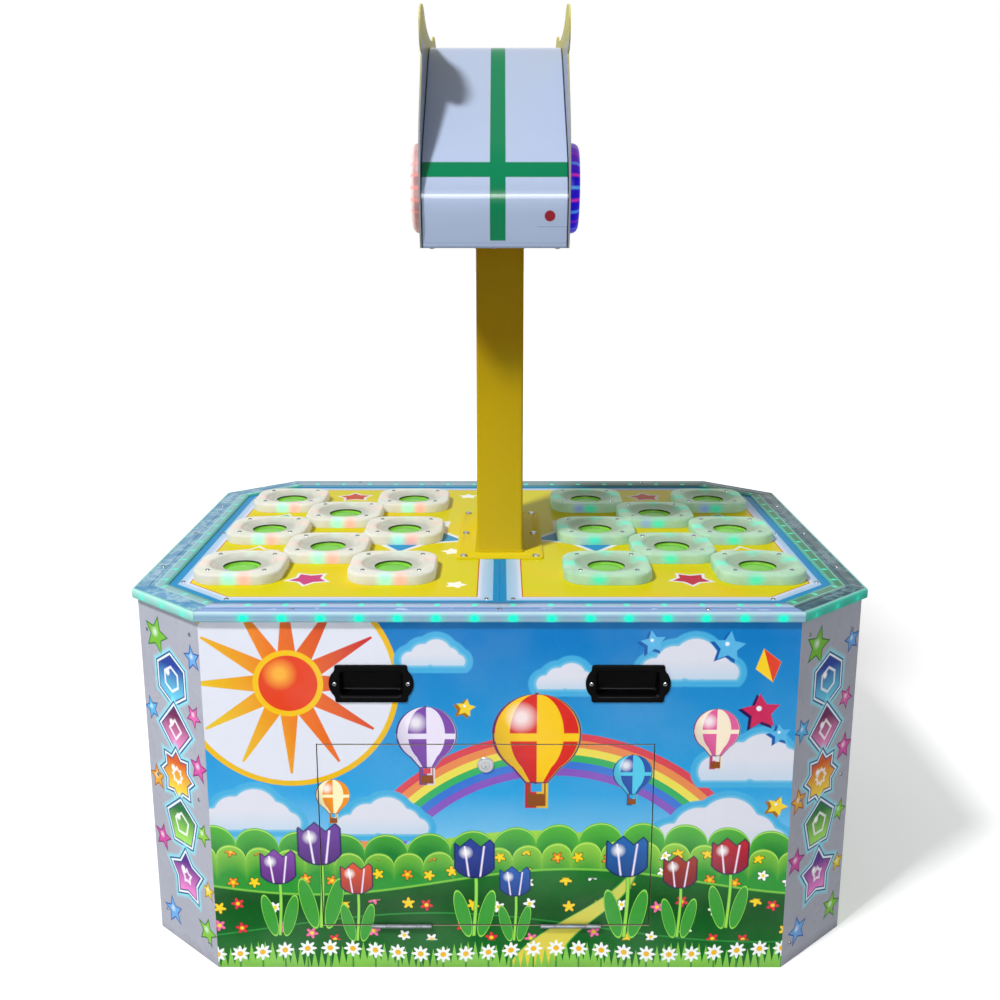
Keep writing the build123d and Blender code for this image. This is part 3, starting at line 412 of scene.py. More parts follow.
class Finish:
    """A material whose shader is filled in with plain names."""

    def __init__(self, name, **constants):
        self.material = bpy.data.materials.new(name)
        self.material.use_nodes = True
        self.tree = self.material.node_tree
        self.shader = next(n for n in self.tree.nodes if n.type == "BSDF_PRINCIPLED")
        self.set(**{"Specular_IOR_Level": 0.25, "IOR": 1.25, **constants})
        coords = node(self.tree, "ShaderNodeTexCoord")
        self.object = shift(coords.outputs["Object"], "SCALE", 1000.0)

    def set(self, **values):
        for key, value in values.items():
            plug(self.tree, self.shader.inputs[key.replace("_", " ")], value)
        return self

    def xyz(self):
        return split(self.object)

    def facing(self):
        """The surface's own direction, as the amounts along x, y and z."""
        return [abs(part) for part in split(node(self.tree, "ShaderNodeNewGeometry").outputs["Normal"])]

    def attribute(self, name):
        return node(self.tree, "ShaderNodeAttribute", attribute_name=name, attribute_type="GEOMETRY").outputs["Vector"]

    def local(self):
        """The coordinates that the part had before it was set in its place, in millimetres."""
        return shift(self.attribute("local"), "SCALE", 1000.0)

    def bump(self, height, strength, distance=0.0006):
        made = node(self.tree, "ShaderNodeBump", {"Height": height, "Strength": strength, "Distance": distance})
        return self.set(Normal=made.outputs[0])

    def grain(self, low, high, scale):
        """Roughness that wanders from low to high."""
        return self.set(Roughness=noise(self.object, scale, 3.0) * (high - low) + low)

    def coat(self, page, grain, wave, strength, distance):
        """Colour, roughness and waviness, and the finished material."""
        self.set(Base_Color=page.top).grain(*grain)
        return self.bump(noise(self.object, wave, 2), strength, distance).material


def plain(name, colour, second, scale, rough, bump, bump_scale, **constants):
    """One colour with the unevenness of its stuff."""
    made = Finish(name, **constants)
    page = Layers(rgb(colour), made.tree)
    page.lay(noise(made.object, scale, 4), second)
    made.set(Base_Color=page.top).grain(*rough, scale * 3)
    return made.bump(noise(made.object, bump_scale, 3), bump).material


def octagon(x, y):
    """Distance inwards from the outline of the edge trim."""
    side, front = HALF_LENGTH - abs(x), HALF_DEPTH - abs(y)
    corner = (side * CUT_DEEP + front * CUT_LONG - CUT_LONG * CUT_DEEP) / math.hypot(CUT_LONG, CUT_DEEP)
    return side.least(front).least(corner)


def board_edges(made, page, across, edge="C8BCAC"):
    """Cut edges of a printed board show its core."""
    core = Layers(rgb(edge), made.tree)
    core.lay(noise(made.object, 0.25, 4), "B0A088")
    page.lay(across.below(0.6), core.top)


def panel_finish(name, kind):
    """Printed foil on board: the garden, or stars on pale grey."""
    made = Finish(name)
    x, y, z = made.xyz()
    nx, ny, _ = made.facing()
    if kind == "front":
        page, face = Layers(park(x, z)), ny
    elif kind == "back":
        page, face = Layers(park(-x, z)), ny
    elif kind == "ends":
        page, face = Layers(park(y * x.sign() + 95, z)), nx
    else:
        page, face = Layers(corner_print(x, y, z)), nx.least(ny) * 1.4
    # Darker towards the bottom, under a ragged edge.
    darker_bottom = span(z + noise(made.object, 0.03, 4) * 30, 34, 6)
    page.lay(darker_bottom * 0.35, "5A5448")
    board_edges(made, page, face)
    return made.coat(page, (0.22, 0.34, 0.02), 0.012, 0.1, 0.003)


def corner_print(x, y, z):
    """Badges and stars down a corner panel. All four read the same way round."""
    along = (abs(x) - CORNER_X) * CORNER_RUN - (abs(y) - CORNER_Y) * CORNER_DROP
    point = join(-along / math.hypot(CORNER_RUN, CORNER_DROP) * (x * y).sign(), z)
    page = Layers(ramp(noise(point, 0.004, 2), [(0.3, "A2A4B2"), (0.7, "AEB0BC")]))
    # small stars: place, size, turn, colour and rim
    for sx, sz, size, turn, colour, rim in (
            (-42, 622, 34, 76, "74BC34", "2E6A24"), (73, 606, 21, 100, "68A8E4", "2C4C9C"),
            (66, 494, 19, 60, "E068B0", "8A2070"), (71, 394, 24, 84, "D850A8", "7A1C6A"),
            (-74, 470, 20, 110, "58B4E8", "24589C"), (-72, 330, 22, 96, "E8A830", "A05018"),
            (-68, 207, 24, 80, "CC48A0", "7A1C6A"), (70, 262, 20, 70, "8CC840", "3A7A28"),
            (-48, 56, 26, 100, "68A8E4", "2C4C9C"), (66, 60, 26, 78, "80C43C", "2E6A24"),
            (78, 150, 16, 90, "E8D040", "A08018")):
        shape = star(point, sx, sz, size, turn, fat=0.46)
        page.lay((shape - 2.4).inside(), rim)
        page.lay(shape.inside(), colour)
        page.lay((away(point, sx - size * 0.1, sz + size * 0.15) - size * 0.2).inside(size * 0.3) * 0.6, "F8FFFF")
    # badges: a fat of nought asks for a regular polygon
    for gx, gz, size, tips, fat, top, low in (
            (0, 547, 46, 6, 0, "1C3C9C", "68C8E8"), (2, 449, 46, 4, 0, "6C1C50", "F090C8"),
            (-2, 356, 47, 8, 0.72, "D85818", "F8D840"), (3, 259, 46, 5, 0, "1C7038", "A0E060"),
            (8, 152, 48, 5, 0.62, "582088", "F088D0")):
        shape = star(point, gx, gz, size, 90, tips, fat or math.cos(math.pi / tips))
        page.lay((shape - 13).inside(9) * 0.9, "88E4F4")
        page.lay((shape - 8).inside(), "1C3878")
        page.lay((shape - 5).inside(), "E8F4FC")
        page.lay((shape - 1).inside(), "24407C")
        page.lay((shape + 1.5).inside(), ramp(span(z, gz - size * 0.7, gz + size * 0.6), [(0, low), (1, top)]))
        page.lay((shape + size * 0.42).line(2.5) * 0.75, "FFFFFF")
        page.lay((away(point, gx - size * 0.25, gz + size * 0.25) - size * 0.13).inside(5), "FFFFFF")
    return page.top


def deck_finish(kit):
    """Printed foil on the playing field, under a clear cover."""
    made = Finish("deck print", IOR=1.15, Specular_IOR_Level=0.15)
    x, y, _ = made.xyz()
    d = octagon(x, y)
    field = (d - 97.5).least(abs(x) - 42)
    point = join(x, y)
    page = Layers((*kit.deck_yellow, 1), made.tree)
    page.lay(span(noise(point, 0.009, 2), 0.45, 0.75) * 0.5, "ECC014")
    page.lay(field.inside(), "B83C14")
    page.lay((field + 2).inside(), ramp(span(field, -24, -2), [(0, "9CC4E0"), (0.6, "B4CCE8"), (1, "DCE2F0")]))
    page.lay((d - 76).least(abs(x) - 12.5).inside(), (*kit.deck_blue, 1))
    for side in (-1, 1):
        stars = [(202, 0, 130, -92, "3090C8", 13), (362, -321, 37, -94, "C43C78" if side < 0 else "BC2440", 7),
                 (355, 354, 37, 96, "C8441C", 7), (496, 139, 40, 80, "80C878", 7), (500, -139, 40, 90, "E0C414", 7)]
        if side < 0:
            stars += [(82, -356, 22, 70, "F8F8E8", 0), (97, -131, 24, 100, "F8F8E8", 0), (78, 362, 24, 90, "F8F8E8", 0)]
        for sx, sy, size, turn, colour, rim in stars:
            shape = star(point, side * sx, sy, size, turn, fat=0.6)
            if rim:
                page.lay((shape - rim * 0.8).inside(2), "E4E6EA")
            page.lay(shape.inside(), colour)
    board_edges(made, page, made.facing()[2], "D8D0C0")
    return made.coat(page, (0.2, 0.3, 0.02), 0.01, 0.06, 0.003)


def milky_finish(kit):
    """Lit milky plastic of the mole collars: mint and pink lamps shine through its front."""
    made = Finish("milky collar", Roughness=0.4, Subsurface_Weight=0.15, Subsurface_Scale=0.01)
    local = made.local()
    lx, ly, lz = split(local)
    x, y, z = made.xyz()
    right = x.above(0)
    left = 1 - right
    reach = (lx * lx + ly * ly).root()
    # Painted shade: the dish round the hole is darker.
    dish_shade = span(reach, 72, 48)
    cloudy = noise(made.object, 0.03, 3)
    page = Layers(ramp(cloudy, [(0.3, "C4C6BA"), (0.7, "D0D0C6")]))
    # Painted shade: the collars right of the pillar are darker and greener, away from the light.
    page.lay(right, ramp(cloudy, [(0.3, "98BCA0"), (0.7, "A8CCB0")]))
    page.lay(dish_shade * 0.8, ramp(cloudy, [(0.3, "94988E"), (0.7, "A2A69C")]))
    page.lay(right * dish_shade * 0.6, "7C9C7C")
    # The hole's wall: painted shade near its top, green lower down.
    page.lay(span(reach, 36.5, 35.2), ramp(span(z, 704, 713), [(0, "90D848"), (0.35, "6CA838"), (0.47, "2C3814")]))
    # lamps under the front lip and at both sides, soft over the rim
    front = span(-ly - lz * 0.5, -304, -272).calc("POWER", 0.7)
    place = y * 0.045 - 4
    beside = span(away(local, 70, 22, 716), 26, 4).most(span(away(local, -70, -6, 716), 26, 4))
    behind = span(away(local, 4, 72, 718), 22, 4)
    drop = (lz - 707) * (right * 0.7 + 0.8)
    mint, pink, teal, blue = [
        span(away(join(lx - at, drop)), glare, 3).most(span(abs(lx - at), glare, 2) * 0.35) * front
        for at, glare in ((-8, 21), (20, 18), (place, 23), (place - 26, 20))]
    blue = blue * span(y, -140, 120)
    glow = Layers(page.top)
    for cover, colour in (
            (beside * 0.3 * left, kit.lamp_pink), (mint.most(behind * 0.2) * left, kit.lamp_mint),
            (pink * left, kit.lamp_pink), (blue * right, kit.lamp_blue),
            (teal.most(beside * 0.7).most(behind * 0.5) * right, kit.lamp_teal)):
        tint = (*colour, 1)
        page.lay(cover * 0.8, tint)
        glow.lay(cover, tint)
    made.set(Base_Color=page.top, Emission_Color=glow.top, Emission_Strength=0.25)
    made.bump(cloudy, 0.05, 0.002)
    return made.material


def trim_finish(kit, name, long):
    """Channelled edge trim: milky outer wall with the lamp strip behind it, printed top."""
    made = Finish(name, Roughness=0.3, IOR=1.3)
    lamp, path, _ = split(made.attribute("band"))  # lamps along the side, and millimetres over the section
    x, y, z = made.xyz()
    outer, rise = path.below(0), span(z, 682, TRIM_TOP)
    if long:
        streak, swirl = noise(join(x * 0.004, path * 0.2), 1.0, 3), noise(join(x * 0.02, y * 0.05), 1.0, 4)
        page = Layers(ramp(span(path, 0, 60), [
            (0.0, "C0D4E4"), (0.08, "B8D0E2"), (0.12, "7C98C4"), (0.3, "84A0CC"), (0.44, "5078B8"), (0.5, "88A8D0"),
            (0.54, "A8BEDC"), (0.7, "A8C0E0"), (0.8, "88ACD0"), (0.87, "1870B4"), (1.0, "1C84BC")]))
        page.lay(span(streak, 0.45, 0.7) * (30 - path).calc("MULTIPLY", 0.1, clamp=True) * 0.4, "A8C4E0")
        page.lay(span(swirl, 0.6, 0.64) * (abs(path - 20) - 7).inside(3) * 0.6, "C4D8EC")
        page.lay(outer, ramp(rise, [(0, "6C98A4"), (0.2, "90B4C8"), (0.55, "84A8C4"), (0.75, "9CC0D4"), (1, "B8D8E4")]))
        # Painted shade on the back run: greyer, and darker green towards the right.
        back = span(y, 0, 10)
        page.lay(back * 0.5, "8CA89C")
        page.lay(back * span(x, -100, 200) * 0.6, "3C7048")
    else:
        # Painted shade: the ends and corners are darker towards the right, away from the light.
        right_shade = span(x, -300, 600)
        swirl = noise(join(x * 0.022, y * 0.022), 1.0, 5, 0.6)
        page = Layers(ramp(swirl, [
            (0.35, "3C80AC"), (0.5, "6098B8"), (0.56, "98BCCC"), (0.6, "5890B4"), (0.8, "74A8C0")]))
        page.lay(right_shade, ramp(swirl, [
            (0.35, "244C56"), (0.5, "345E68"), (0.56, "688C96"), (0.6, "345C66"), (0.8, "4C6E76")]))
        page.lay((path - 5).inside(3), "84C8BC")
        channel, walls = (abs(path - 47) - 9).inside(3), (abs(path - 47) - 8).line(1.0, 1.6) * 0.8
        for cover, left, right in ((channel, "84B8C0", "347C58"), (walls, "A8DCDC", "54C090")):
            page.lay(cover, left)
            page.lay(cover * right_shade, right)
        page.lay((path - 53).calc("MULTIPLY", 0.5, clamp=True), "4CA898")
        page.lay(outer, ramp(rise, [(0, "74B8B0"), (0.5, "94D0C8"), (1, "B4E4DC")]))
        page.lay(outer * right_shade, ramp(rise, [(0, "18A890"), (0.5, "28C0A8"), (1, "60D4C0")]))
    # light spots on the outer wall and small ones in the channel
    sizes = (8, 1.0, 42, 4, 0.5) if long else (4, 0.6, 48, 3, 0.3)
    wall_radius, wall_share, channel_path, channel_radius, halo_share = sizes
    led = (lamp + 0.5).cell(1) * LAMP_PITCH
    spot = away(join(led, (z - 689) * 1.1))
    wall = (spot - wall_radius).inside(6) * outer * wall_share
    halo = span(spot, 22, 3) * outer
    small = (away(join(led * 0.8, (path - channel_path) * 0.6)) - channel_radius).inside(4) * path.above(30)
    if long:
        wall, halo, small = [cover * (x + y * 0.2).above(-580) for cover in (wall, halo, small)]
    tint = (*kit.lamp_strip, 1)
    page.lay(halo * halo_share, tint)
    page.lay(wall.most(small), tint)
    glow = Layers(rgb("000000"), made.tree)
    glow.lay(halo * 0.25, tint)
    glow.lay(wall.most(small), tint)
    made.set(Base_Color=page.top, Emission_Color=glow.top, Emission_Strength=0.22)
    made.bump(noise(made.object, 0.03, 2), 0.05, 0.002)
    return made.material


def head_sheet_finish(kit):
    """Pale blue sheet with two crossed stripes, a dot and a fold line."""
    made = Finish("head sheet", Coat_Weight=1.0, Coat_Roughness=0.2, Coat_IOR=1.2, IOR=1.1)
    x, y, z = made.xyz()
    front = y.below(0)
    page = Layers(ramp(span(z, HEAD_BOTTOM, 1690), [(0, "9CACC8"), (0.3, "A6B4CE"), (1, "A2AEC6")]))
    page.lay(span(noise(made.object, 0.006, 2), 0.4, 0.8) * 0.15, "98A4C0")
    page.lay((abs(x + 3.7) - 13.8).most(1322 - z).inside(), (*kit.stripe_green, 1))
    page.lay((abs(z - 1443.5) - 13).inside(), (*kit.stripe_green, 1))
    page.lay((away(join(x, z), 88, 1364.5) - 9.5).inside() * front, "881C28")
    page.lay((z - 1318).line(0.5, 0.8) * 0.5, "707890")
    page.lay((127.2 - abs(x - HEAD_X)).inside(1.6), "1C2028")
    page.lay((abs(z - 1346) - 0.4).most(66 - x).inside(0.8) * front * 0.6, "505868")
    page.lay((z - 1312).inside(3) * 0.6, "60687C")
    made.set(Base_Color=page.top).grain(0.1, 0.2, 0.015)
    made.bump(noise(join(x * 0.3, y, z), 0.012, 2), 0.12, 0.006)
    return made.material


def head_face_finish():
    """Both sides of the head's plates: rays and stars round the lamp ring outside, painted shade inside, yellow ears.
    """
    made = Finish("head face print", IOR=1.04)
    x, y, z = made.xyz()
    point = join(y, z)
    reach = away(point, 0, RING_Z)
    angle = (z - RING_Z).calc("ARCTAN2", y)
    outwards = span(reach, 90, 330)
    page = Layers(ramp(outwards, [(0, "F8E860"), (0.5, "F0A828"), (1, "E06028")]))
    rays = (angle.fold(math.pi / 16) - math.pi / 32).calc("MULTIPLY", 60, clamp=True)
    page.lay(rays, ramp(outwards, [(0, "FFF8C8"), (1, "F8C840")]))
    page.lay((reach - 112).inside(), "2C60B8")
    page.lay((reach - 104).inside(), "F4F8FC")
    for sx, sz, size, turn, colour in (
            (-200, 1390, 30, 80, "D03860"), (205, 1400, 30, 100, "3CA4D8"), (-150, 1530, 24, 100, "50B048"),
            (150, 1535, 24, 80, "8A50B0"), (-110, 1340, 16, 90, "3C70D0"), (120, 1338, 16, 90, "D85020"),
            (0, 1590, 26, 90, "E03048"), (-270, 1360, 18, 95, "50B048"), (272, 1365, 18, 85, "D03860")):
        shape = star(point, sx, sz, size, turn)
        page.lay((shape - 6).inside(), "FFFFFF")
        page.lay(shape.inside(), colour)
    page.lay(span(z + abs(y) * 0.3, 1706, 1716), "E0CC48")      # ears
    # Inside faces of the plates: painted shade, with the yellow print showing through darker towards the ears.
    page.lay(abs(x - HEAD_X).below(129.9), ramp(span(z, 1650, 1712), [(0, "98A0B4"), (0.5, "A8A048"), (1, "BEB444")]))
    page.lay(made.facing()[0].below(0.6),
             ramp(span(z, 1480, 1712), [(0, "888C90"), (0.6, "9C9A74"), (0.9, "B0A854"), (1, "C8C268")]))
    return made.coat(page, (0.18, 0.3, 0.02), 0.01, 0.06, 0.003)


def ring_finish():
    """Milky ring with coloured lamps inside, set by the share of a half turn and the height over the plate."""
    made = Finish("ring lamp", Roughness=0.3)
    angle, over, _ = split(made.attribute("band"))
    x, _, z = made.xyz()
    spots = span(abs((angle * 11.25 + 0.25).cell(1)), 0.2, 0.02) * span(over, 4, 20)
    spots = spots * (span(abs(z - RING_Z), 66, 30) * 0.75 + 0.25)
    alternate = (angle * 5.625 + 0.625).calc("FRACT").above(0.5)
    patchy = noise(made.object, 0.02, 2)
    warm = Layers(ramp(patchy, [(0.35, "84666A"), (0.65, "B08C90")]))
    warm.lay(span(made.facing()[0], 0.35, 0.85), "E4CCCC")
    warm.lay(spots * 0.6, "F08078")
    cold = Layers(ramp(patchy, [(0.35, "1C08D0"), (0.65, "3820D4")]))
    cold.lay(span(z + patchy * 40, 1450, 1510), "6C2CC4")
    cold.lay(spots * alternate * 0.8, "E838B0")
    cold.lay(spots * (1 - alternate), "5CB0FF")
    warm.lay(x.above(0), cold.top)
    made.set(Base_Color=warm.top, Emission_Color=warm.top, Emission_Strength=0.3)
    made.bump(noise(made.object, 0.05, 2), 0.05, 0.002)
    return made.material


def display_finish():
    """Score display: black glass with two digits of seven segments."""
    made = Finish("score display", IOR=1.45)
    _, y, z = made.xyz()
    face = made.facing()[0].above(0.7)
    across, up = abs(y) - 17.5, z - RING_Z
    ring = (abs(across) - 8.5).most(abs(up) - 14)
    lit = (abs(ring) - 1.6).inside(0.6) * (1 - (abs(up) - 1.0).inside(0.6)) * face
    page = Layers(rgb("08080A"), made.tree)
    page.lay((abs(up) - 1.4).inside(0.5) * (abs(across) - 6).inside(0.6) * face, "2A0806")
    page.lay(lit, "FF2810")
    glow = Layers(rgb("000000"), made.tree)
    glow.lay(lit, "FF2810")
    made.set(Base_Color=page.top, Emission_Color=glow.top, Emission_Strength=1.0).grain(0.12, 0.2, 0.05)
    return made.material


def screw_finish():
    """Nickelled screw with its cross recess in painted shade."""
    made = Finish("nickelled screw", Metallic=1.0)
    lx, ly, _ = split(made.local())
    cross = (abs(lx) - 0.6).most(abs(ly) - 2.4).least((abs(ly) - 0.6).most(abs(lx) - 2.4))
    page = Layers(ramp(noise(made.object, 0.3, 2), [(0.3, "60646A"), (0.7, "94989C")]))
    # Painted shade: the cross recess is near black.
    page.lay(cross.inside(0.3), "080808")
    made.set(Base_Color=page.top).grain(0.2, 0.4, 0.5)
    made.bump(cross.inside(0.6), -0.4, 0.0006)
    return made.material


def make_finishes(kit):
    """Every finish of the table, by its plain name."""
    pillar = Finish("yellow paint", IOR=1.12)
    # Painted shade: the yellow darkens up the pillar towards the head, for the head's shadow on it.
    paint = Layers(ramp(span(pillar.xyz()[2], COLLAR_TOP, HEAD_BOTTOM), [
        (0, "BCA40E"), (0.22, "B69C0A"), (0.5, "AC900A"), (0.6, "A2860A"), (0.7, "926E08"), (1, "7E5C08")]))
    paint.lay(noise(pillar.object, 0.004, 4) * 0.3, "C2A40E")
    pillar.set(Base_Color=paint.top).grain(0.38, 0.5, 0.012)
    pillar.bump(noise(pillar.object, 0.1, 3), 0.06)
    # Painted light: the foot takes a lighter copy of the pillar's yellow paint.
    foot = plain("yellow paint, foot", "D8C214", "E0CC24", 0.01, (0.38, 0.5), 0.06, 0.1, IOR=1.12)
    mole = plain("mole lime", "50B418", "88DC40", 0.02, (0.25, 0.36), 0.05, 0.2, IOR=1.4, Subsurface_Weight=0.1,
                 Subsurface_Scale=0.008)
    board = Finish("cabinet board")
    grain = noise(shift(board.object, "MULTIPLY", (0.1, 0.1, 1.0)), 0.05, 5, 0.6)
    board.set(Base_Color=ramp(grain, [(0.3, "B09468"), (0.7, "CDB48A")])).grain(0.6, 0.75, 0.05).bump(grain, 0.3)
    circuit = Finish("circuit board")
    x, y, _ = circuit.xyz()
    page = Layers(rgb("0E5A30"), circuit.tree)
    page.lay((abs(x.cell(9)) - 0.6).inside(0.5).most((abs(y.cell(11)) - 0.6).inside(0.5)) * 0.6, "2C8C50")
    page.lay(span(noise(circuit.object, 0.12, 2), 0.6, 0.64), "1A1A1C")
    circuit.set(Base_Color=page.top).grain(0.3, 0.5, 0.1)
    drive = Finish("mole drive", Metallic=0.6)
    z = drive.xyz()[2]
    wound = (z / 1.2).calc("FRACT")
    page = Layers(ramp(wound, [(0, "6C3A1C"), (0.5, "C07838"), (1, "6C3A1C")]))
    page.lay(z.above(640), "9C9FA2")
    drive.set(Base_Color=page.top).grain(0.3, 0.5, 0.1).bump(wound, 0.3)
    lit = Finish("lit button", Roughness=0.2, IOR=1.4, Subsurface_Weight=0.2, Subsurface_Scale=0.01)
    _, y, z = lit.xyz()
    hub = (y * y + (z - BUTTON_Z) * (z - BUTTON_Z)).root()
    tint = ramp(span(hub, 0, 22), [(0, "FFE060"), (0.7, "F08018"), (1, "C04810")])
    lit.set(Base_Color=tint, Emission_Color=tint, Emission_Strength=0.25).bump(noise(lit.object, 0.3, 2), 0.04)
    return {
        "front": panel_finish("garden print, front", "front"), "back": panel_finish("garden print, back", "back"),
        "ends": panel_finish("garden print, ends", "ends"), "corner": panel_finish("star print, corners", "corner"),
        "deck": deck_finish(kit), "milky": milky_finish(kit), "mole": mole, "pillar": pillar.material, "foot": foot,
        "board": board.material, "trim long": trim_finish(kit, "long trim", True),
        "trim end": trim_finish(kit, "end trim", False), "trim corner": trim_finish(kit, "corner trim", False),
        "sheet": head_sheet_finish(kit), "face": head_face_finish(), "ring": ring_finish(), "display": display_finish(),
        "black": plain("black plastic", "030304", "08080A", 0.05, (0.24, 0.36), 0.12, 0.8, IOR=1.18),
        "chrome": plain("bright chrome", "C8CACC", "A8ABB0", 0.1, (0.08, 0.2), 0.03, 0.5, Metallic=1.0),
        "zinc": plain("zinc plate", "8E9296", "B4B8BC", 0.06, (0.3, 0.5), 0.1, 0.3, Metallic=1.0),
        "hinge": plain("hinge steel", "54585C", "787C80", 0.08, (0.5, 0.62), 0.1, 0.3, Metallic=1.0),
        "screw": screw_finish(), "circuit": circuit.material, "drive": drive.material, "lit": lit.material,
    }


# ---------------------------------------------------------------- shapes

class Shape:
    """A mesh that is put together from lofts, in millimetres."""

    def __init__(self):
        self.points, self.faces, self.band = [], [], []

    def loft(self, rings, closed=False, bands=None):
        """Skin over rings of as many points each, with flat ends. A ring of one point closes a pole."""
        start = []
        for i, ring in enumerate(rings):
            start.append(len(self.points))
            self.points += [tuple(p) for p in ring]
            self.band += bands[i] if bands else [(0, 0, 0)] * len(ring)
        for a in range(len(rings) if closed else len(rings) - 1):
            b = (a + 1) % len(rings)
            n, m = len(rings[a]), len(rings[b])
            for i in range(max(n, m)):
                j = (i + 1) % max(n, m)
                corners = start[a] + i % n, start[a] + j % n, start[b] + j % m, start[b] + i % m
                face = list(dict.fromkeys(corners))
                if len(face) > 2:
                    self.faces.append(face)
        for k in () if closed else (0, -1):
            if len(rings[k]) > 2:
                self.faces.append([start[k] + i for i in range(len(rings[k]))])
        return self

    def lathe(self, profile, centre, axis="Z", count=48, closed=False):
        """Turns (radius, height) pairs round an axis through the centre."""
        rings, bands = [], []
        for radius, height in profile:
            ring, steps = [], range(count if radius else 1)
            for i in steps:
                turn = 2 * math.pi * i / count
                a, b = radius * math.cos(turn), radius * math.sin(turn)
                offset = {"Z": (a, b, height), "X": (height, a, b), "Y": (b, height, a)}[axis]
                ring.append([c + o for c, o in zip(centre, offset)])
            rings.append(ring)
            bands.append([(min(i, count - i) * 2 / count, abs(height), 0) for i in steps])
        return self.loft(rings, closed, bands)

    def mesh(self, name, angle=35):
        """Doubles merged, faces outwards, soft over the bends and sharp over the edges."""
        mesh = bpy.data.meshes.new(name)
        mesh.from_pydata([[c * MM for c in p] for p in self.points], [], self.faces)
        keep_vectors(mesh, "band", [c for b in self.band for c in b])
        work = bmesh.new()
        work.from_mesh(mesh)
        bmesh.ops.remove_doubles(work, verts=work.verts, dist=0.000005)
        bmesh.ops.recalc_face_normals(work, faces=work.faces)
        work.to_mesh(mesh)
        work.free()
        mesh.shade_smooth()
        mesh.set_sharp_from_angle(angle=math.radians(angle))
        return mesh

    def piece(self, name, finish, body="table", nodes=(), slot=None, angle=35):
        return dress(bpy.data.objects.new(name, self.mesh(name, angle)), finish, body, nodes)


def keep_vectors(mesh, name, numbers):
    """Stores a vector for each point of a mesh under a name."""
    mesh.attributes.new(name, "FLOAT_VECTOR", "POINT").data.foreach_set("vector", numbers)


def dress(piece, finish, body="table", nodes=()):
    """Puts a finished piece in the scene, on its body, in place of the CAD's nodes."""
    if piece.name not in bpy.context.scene.collection.objects:
        bpy.context.scene.collection.objects.link(piece)
    piece.data.materials.clear()
    piece.data.materials.append(finish)
    for polygon in piece.data.polygons:
        polygon.material_index = 0
    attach(piece, body)
    if nodes:
        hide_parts(*nodes)
    return piece


def settle(piece):
    """The piece's modifiers made mesh, and removed."""
    bpy.context.view_layer.update()
    graph = bpy.context.evaluated_depsgraph_get()
    whole = piece.evaluated_get(graph)
    mesh = bpy.data.meshes.new_from_object(whole, preserve_all_data_layers=True, depsgraph=graph)
    piece.modifiers.clear()
    piece.data = mesh


def rounded(width, height, radius, steps=6):
    """Outline of a rounded rectangle, anticlockwise from its right side."""
    points = []
    for cx, cy, start in ((1, 1, 0), (-1, 1, 90), (-1, -1, 180), (1, -1, 270)):
        for i in range(steps + 1):
            turn = math.radians(start + 90 * i / steps)
            points.append((cx * (width / 2 - radius) + radius * math.cos(turn),
                           cy * (height / 2 - radius) + radius * math.sin(turn)))
    return points


def dense(outline, step):
    """An outline with points added along its long runs."""
    points = []
    for i, point in enumerate(outline):
        here, after = Vector(point), Vector(outline[(i + 1) % len(outline)])
        count = max(1, round((after - here).length / step))
        points += [tuple(here.lerp(after, k / count)) for k in range(count)]
    return points


def softened(corners, radius, steps=5, closed=True):
    """A run of corners with each one rounded off."""
    points = []
    for i, corner in enumerate(corners):
        here = Vector(corner)
        if not closed and i in (0, len(corners) - 1):
            points.append(tuple(here))
            continue
        cuts = []
        for other in (corners[i - 1], corners[(i + 1) % len(corners)]):
            side = Vector(other) - here
            cuts.append(here + side.normalized() * min(radius, side.length * 0.45))
        for k in range(steps + 1):
            t = k / steps
            points.append(tuple(cuts[0] * (1 - t) ** 2 + here * 2 * t * (1 - t) + cuts[1] * t * t))
    return points


def grown(outline, by):
    """An outline moved outwards by a distance, corner by corner."""
    moved = []
    for i in range(len(outline)):
        before, here, after = (Vector(outline[k % len(outline)]) for k in (i - 1, i, i + 1))
        a, b = here - before, after - here
        if min(a.length, b.length) < 1e-6:
            a = b = after - before
        across = Vector((a.y, -a.x)).normalized()
        normal = (across + Vector((b.y, -b.x)).normalized()).normalized()
        moved.append(tuple(here + normal * by / max(0.5, abs(normal.dot(across)))))
    return moved


def stacked(outline, levels, x=0, y=0):
    """An outline at (growth, height) levels."""
    return [[(x + a, y + b, z) for a, b in grown(outline, growth)] for growth, z in levels]


def bevelled(node_name, name, finish, body, width):
    """A copy of a CAD node with its edges broken, in its place."""
    mesh = NODES[node_name].data.copy()
    mesh.name = name
    work = bmesh.new()
    work.from_mesh(mesh)
    bmesh.ops.remove_doubles(work, verts=work.verts, dist=0.00001)
    bmesh.ops.dissolve_limit(work, angle_limit=math.radians(0.6), verts=work.verts, edges=work.edges)
    bmesh.ops.recalc_face_normals(work, faces=work.faces)
    work.to_mesh(mesh)
    work.free()
    piece = bpy.data.objects.new(name, mesh)
    bpy.context.scene.collection.objects.link(piece)
    bevel = piece.modifiers.new("edges", "BEVEL")
    bevel.width, bevel.segments, bevel.use_clamp_overlap = width * MM, 2, True
    bevel.limit_method, bevel.angle_limit = "ANGLE", math.radians(40)
    settle(piece)
    piece.data.shade_smooth()
    piece.data.set_sharp_from_angle(angle=math.radians(32))
    return dress(piece, finish, body, (node_name,))


# ---------------------------------------------------------------- repeated parts

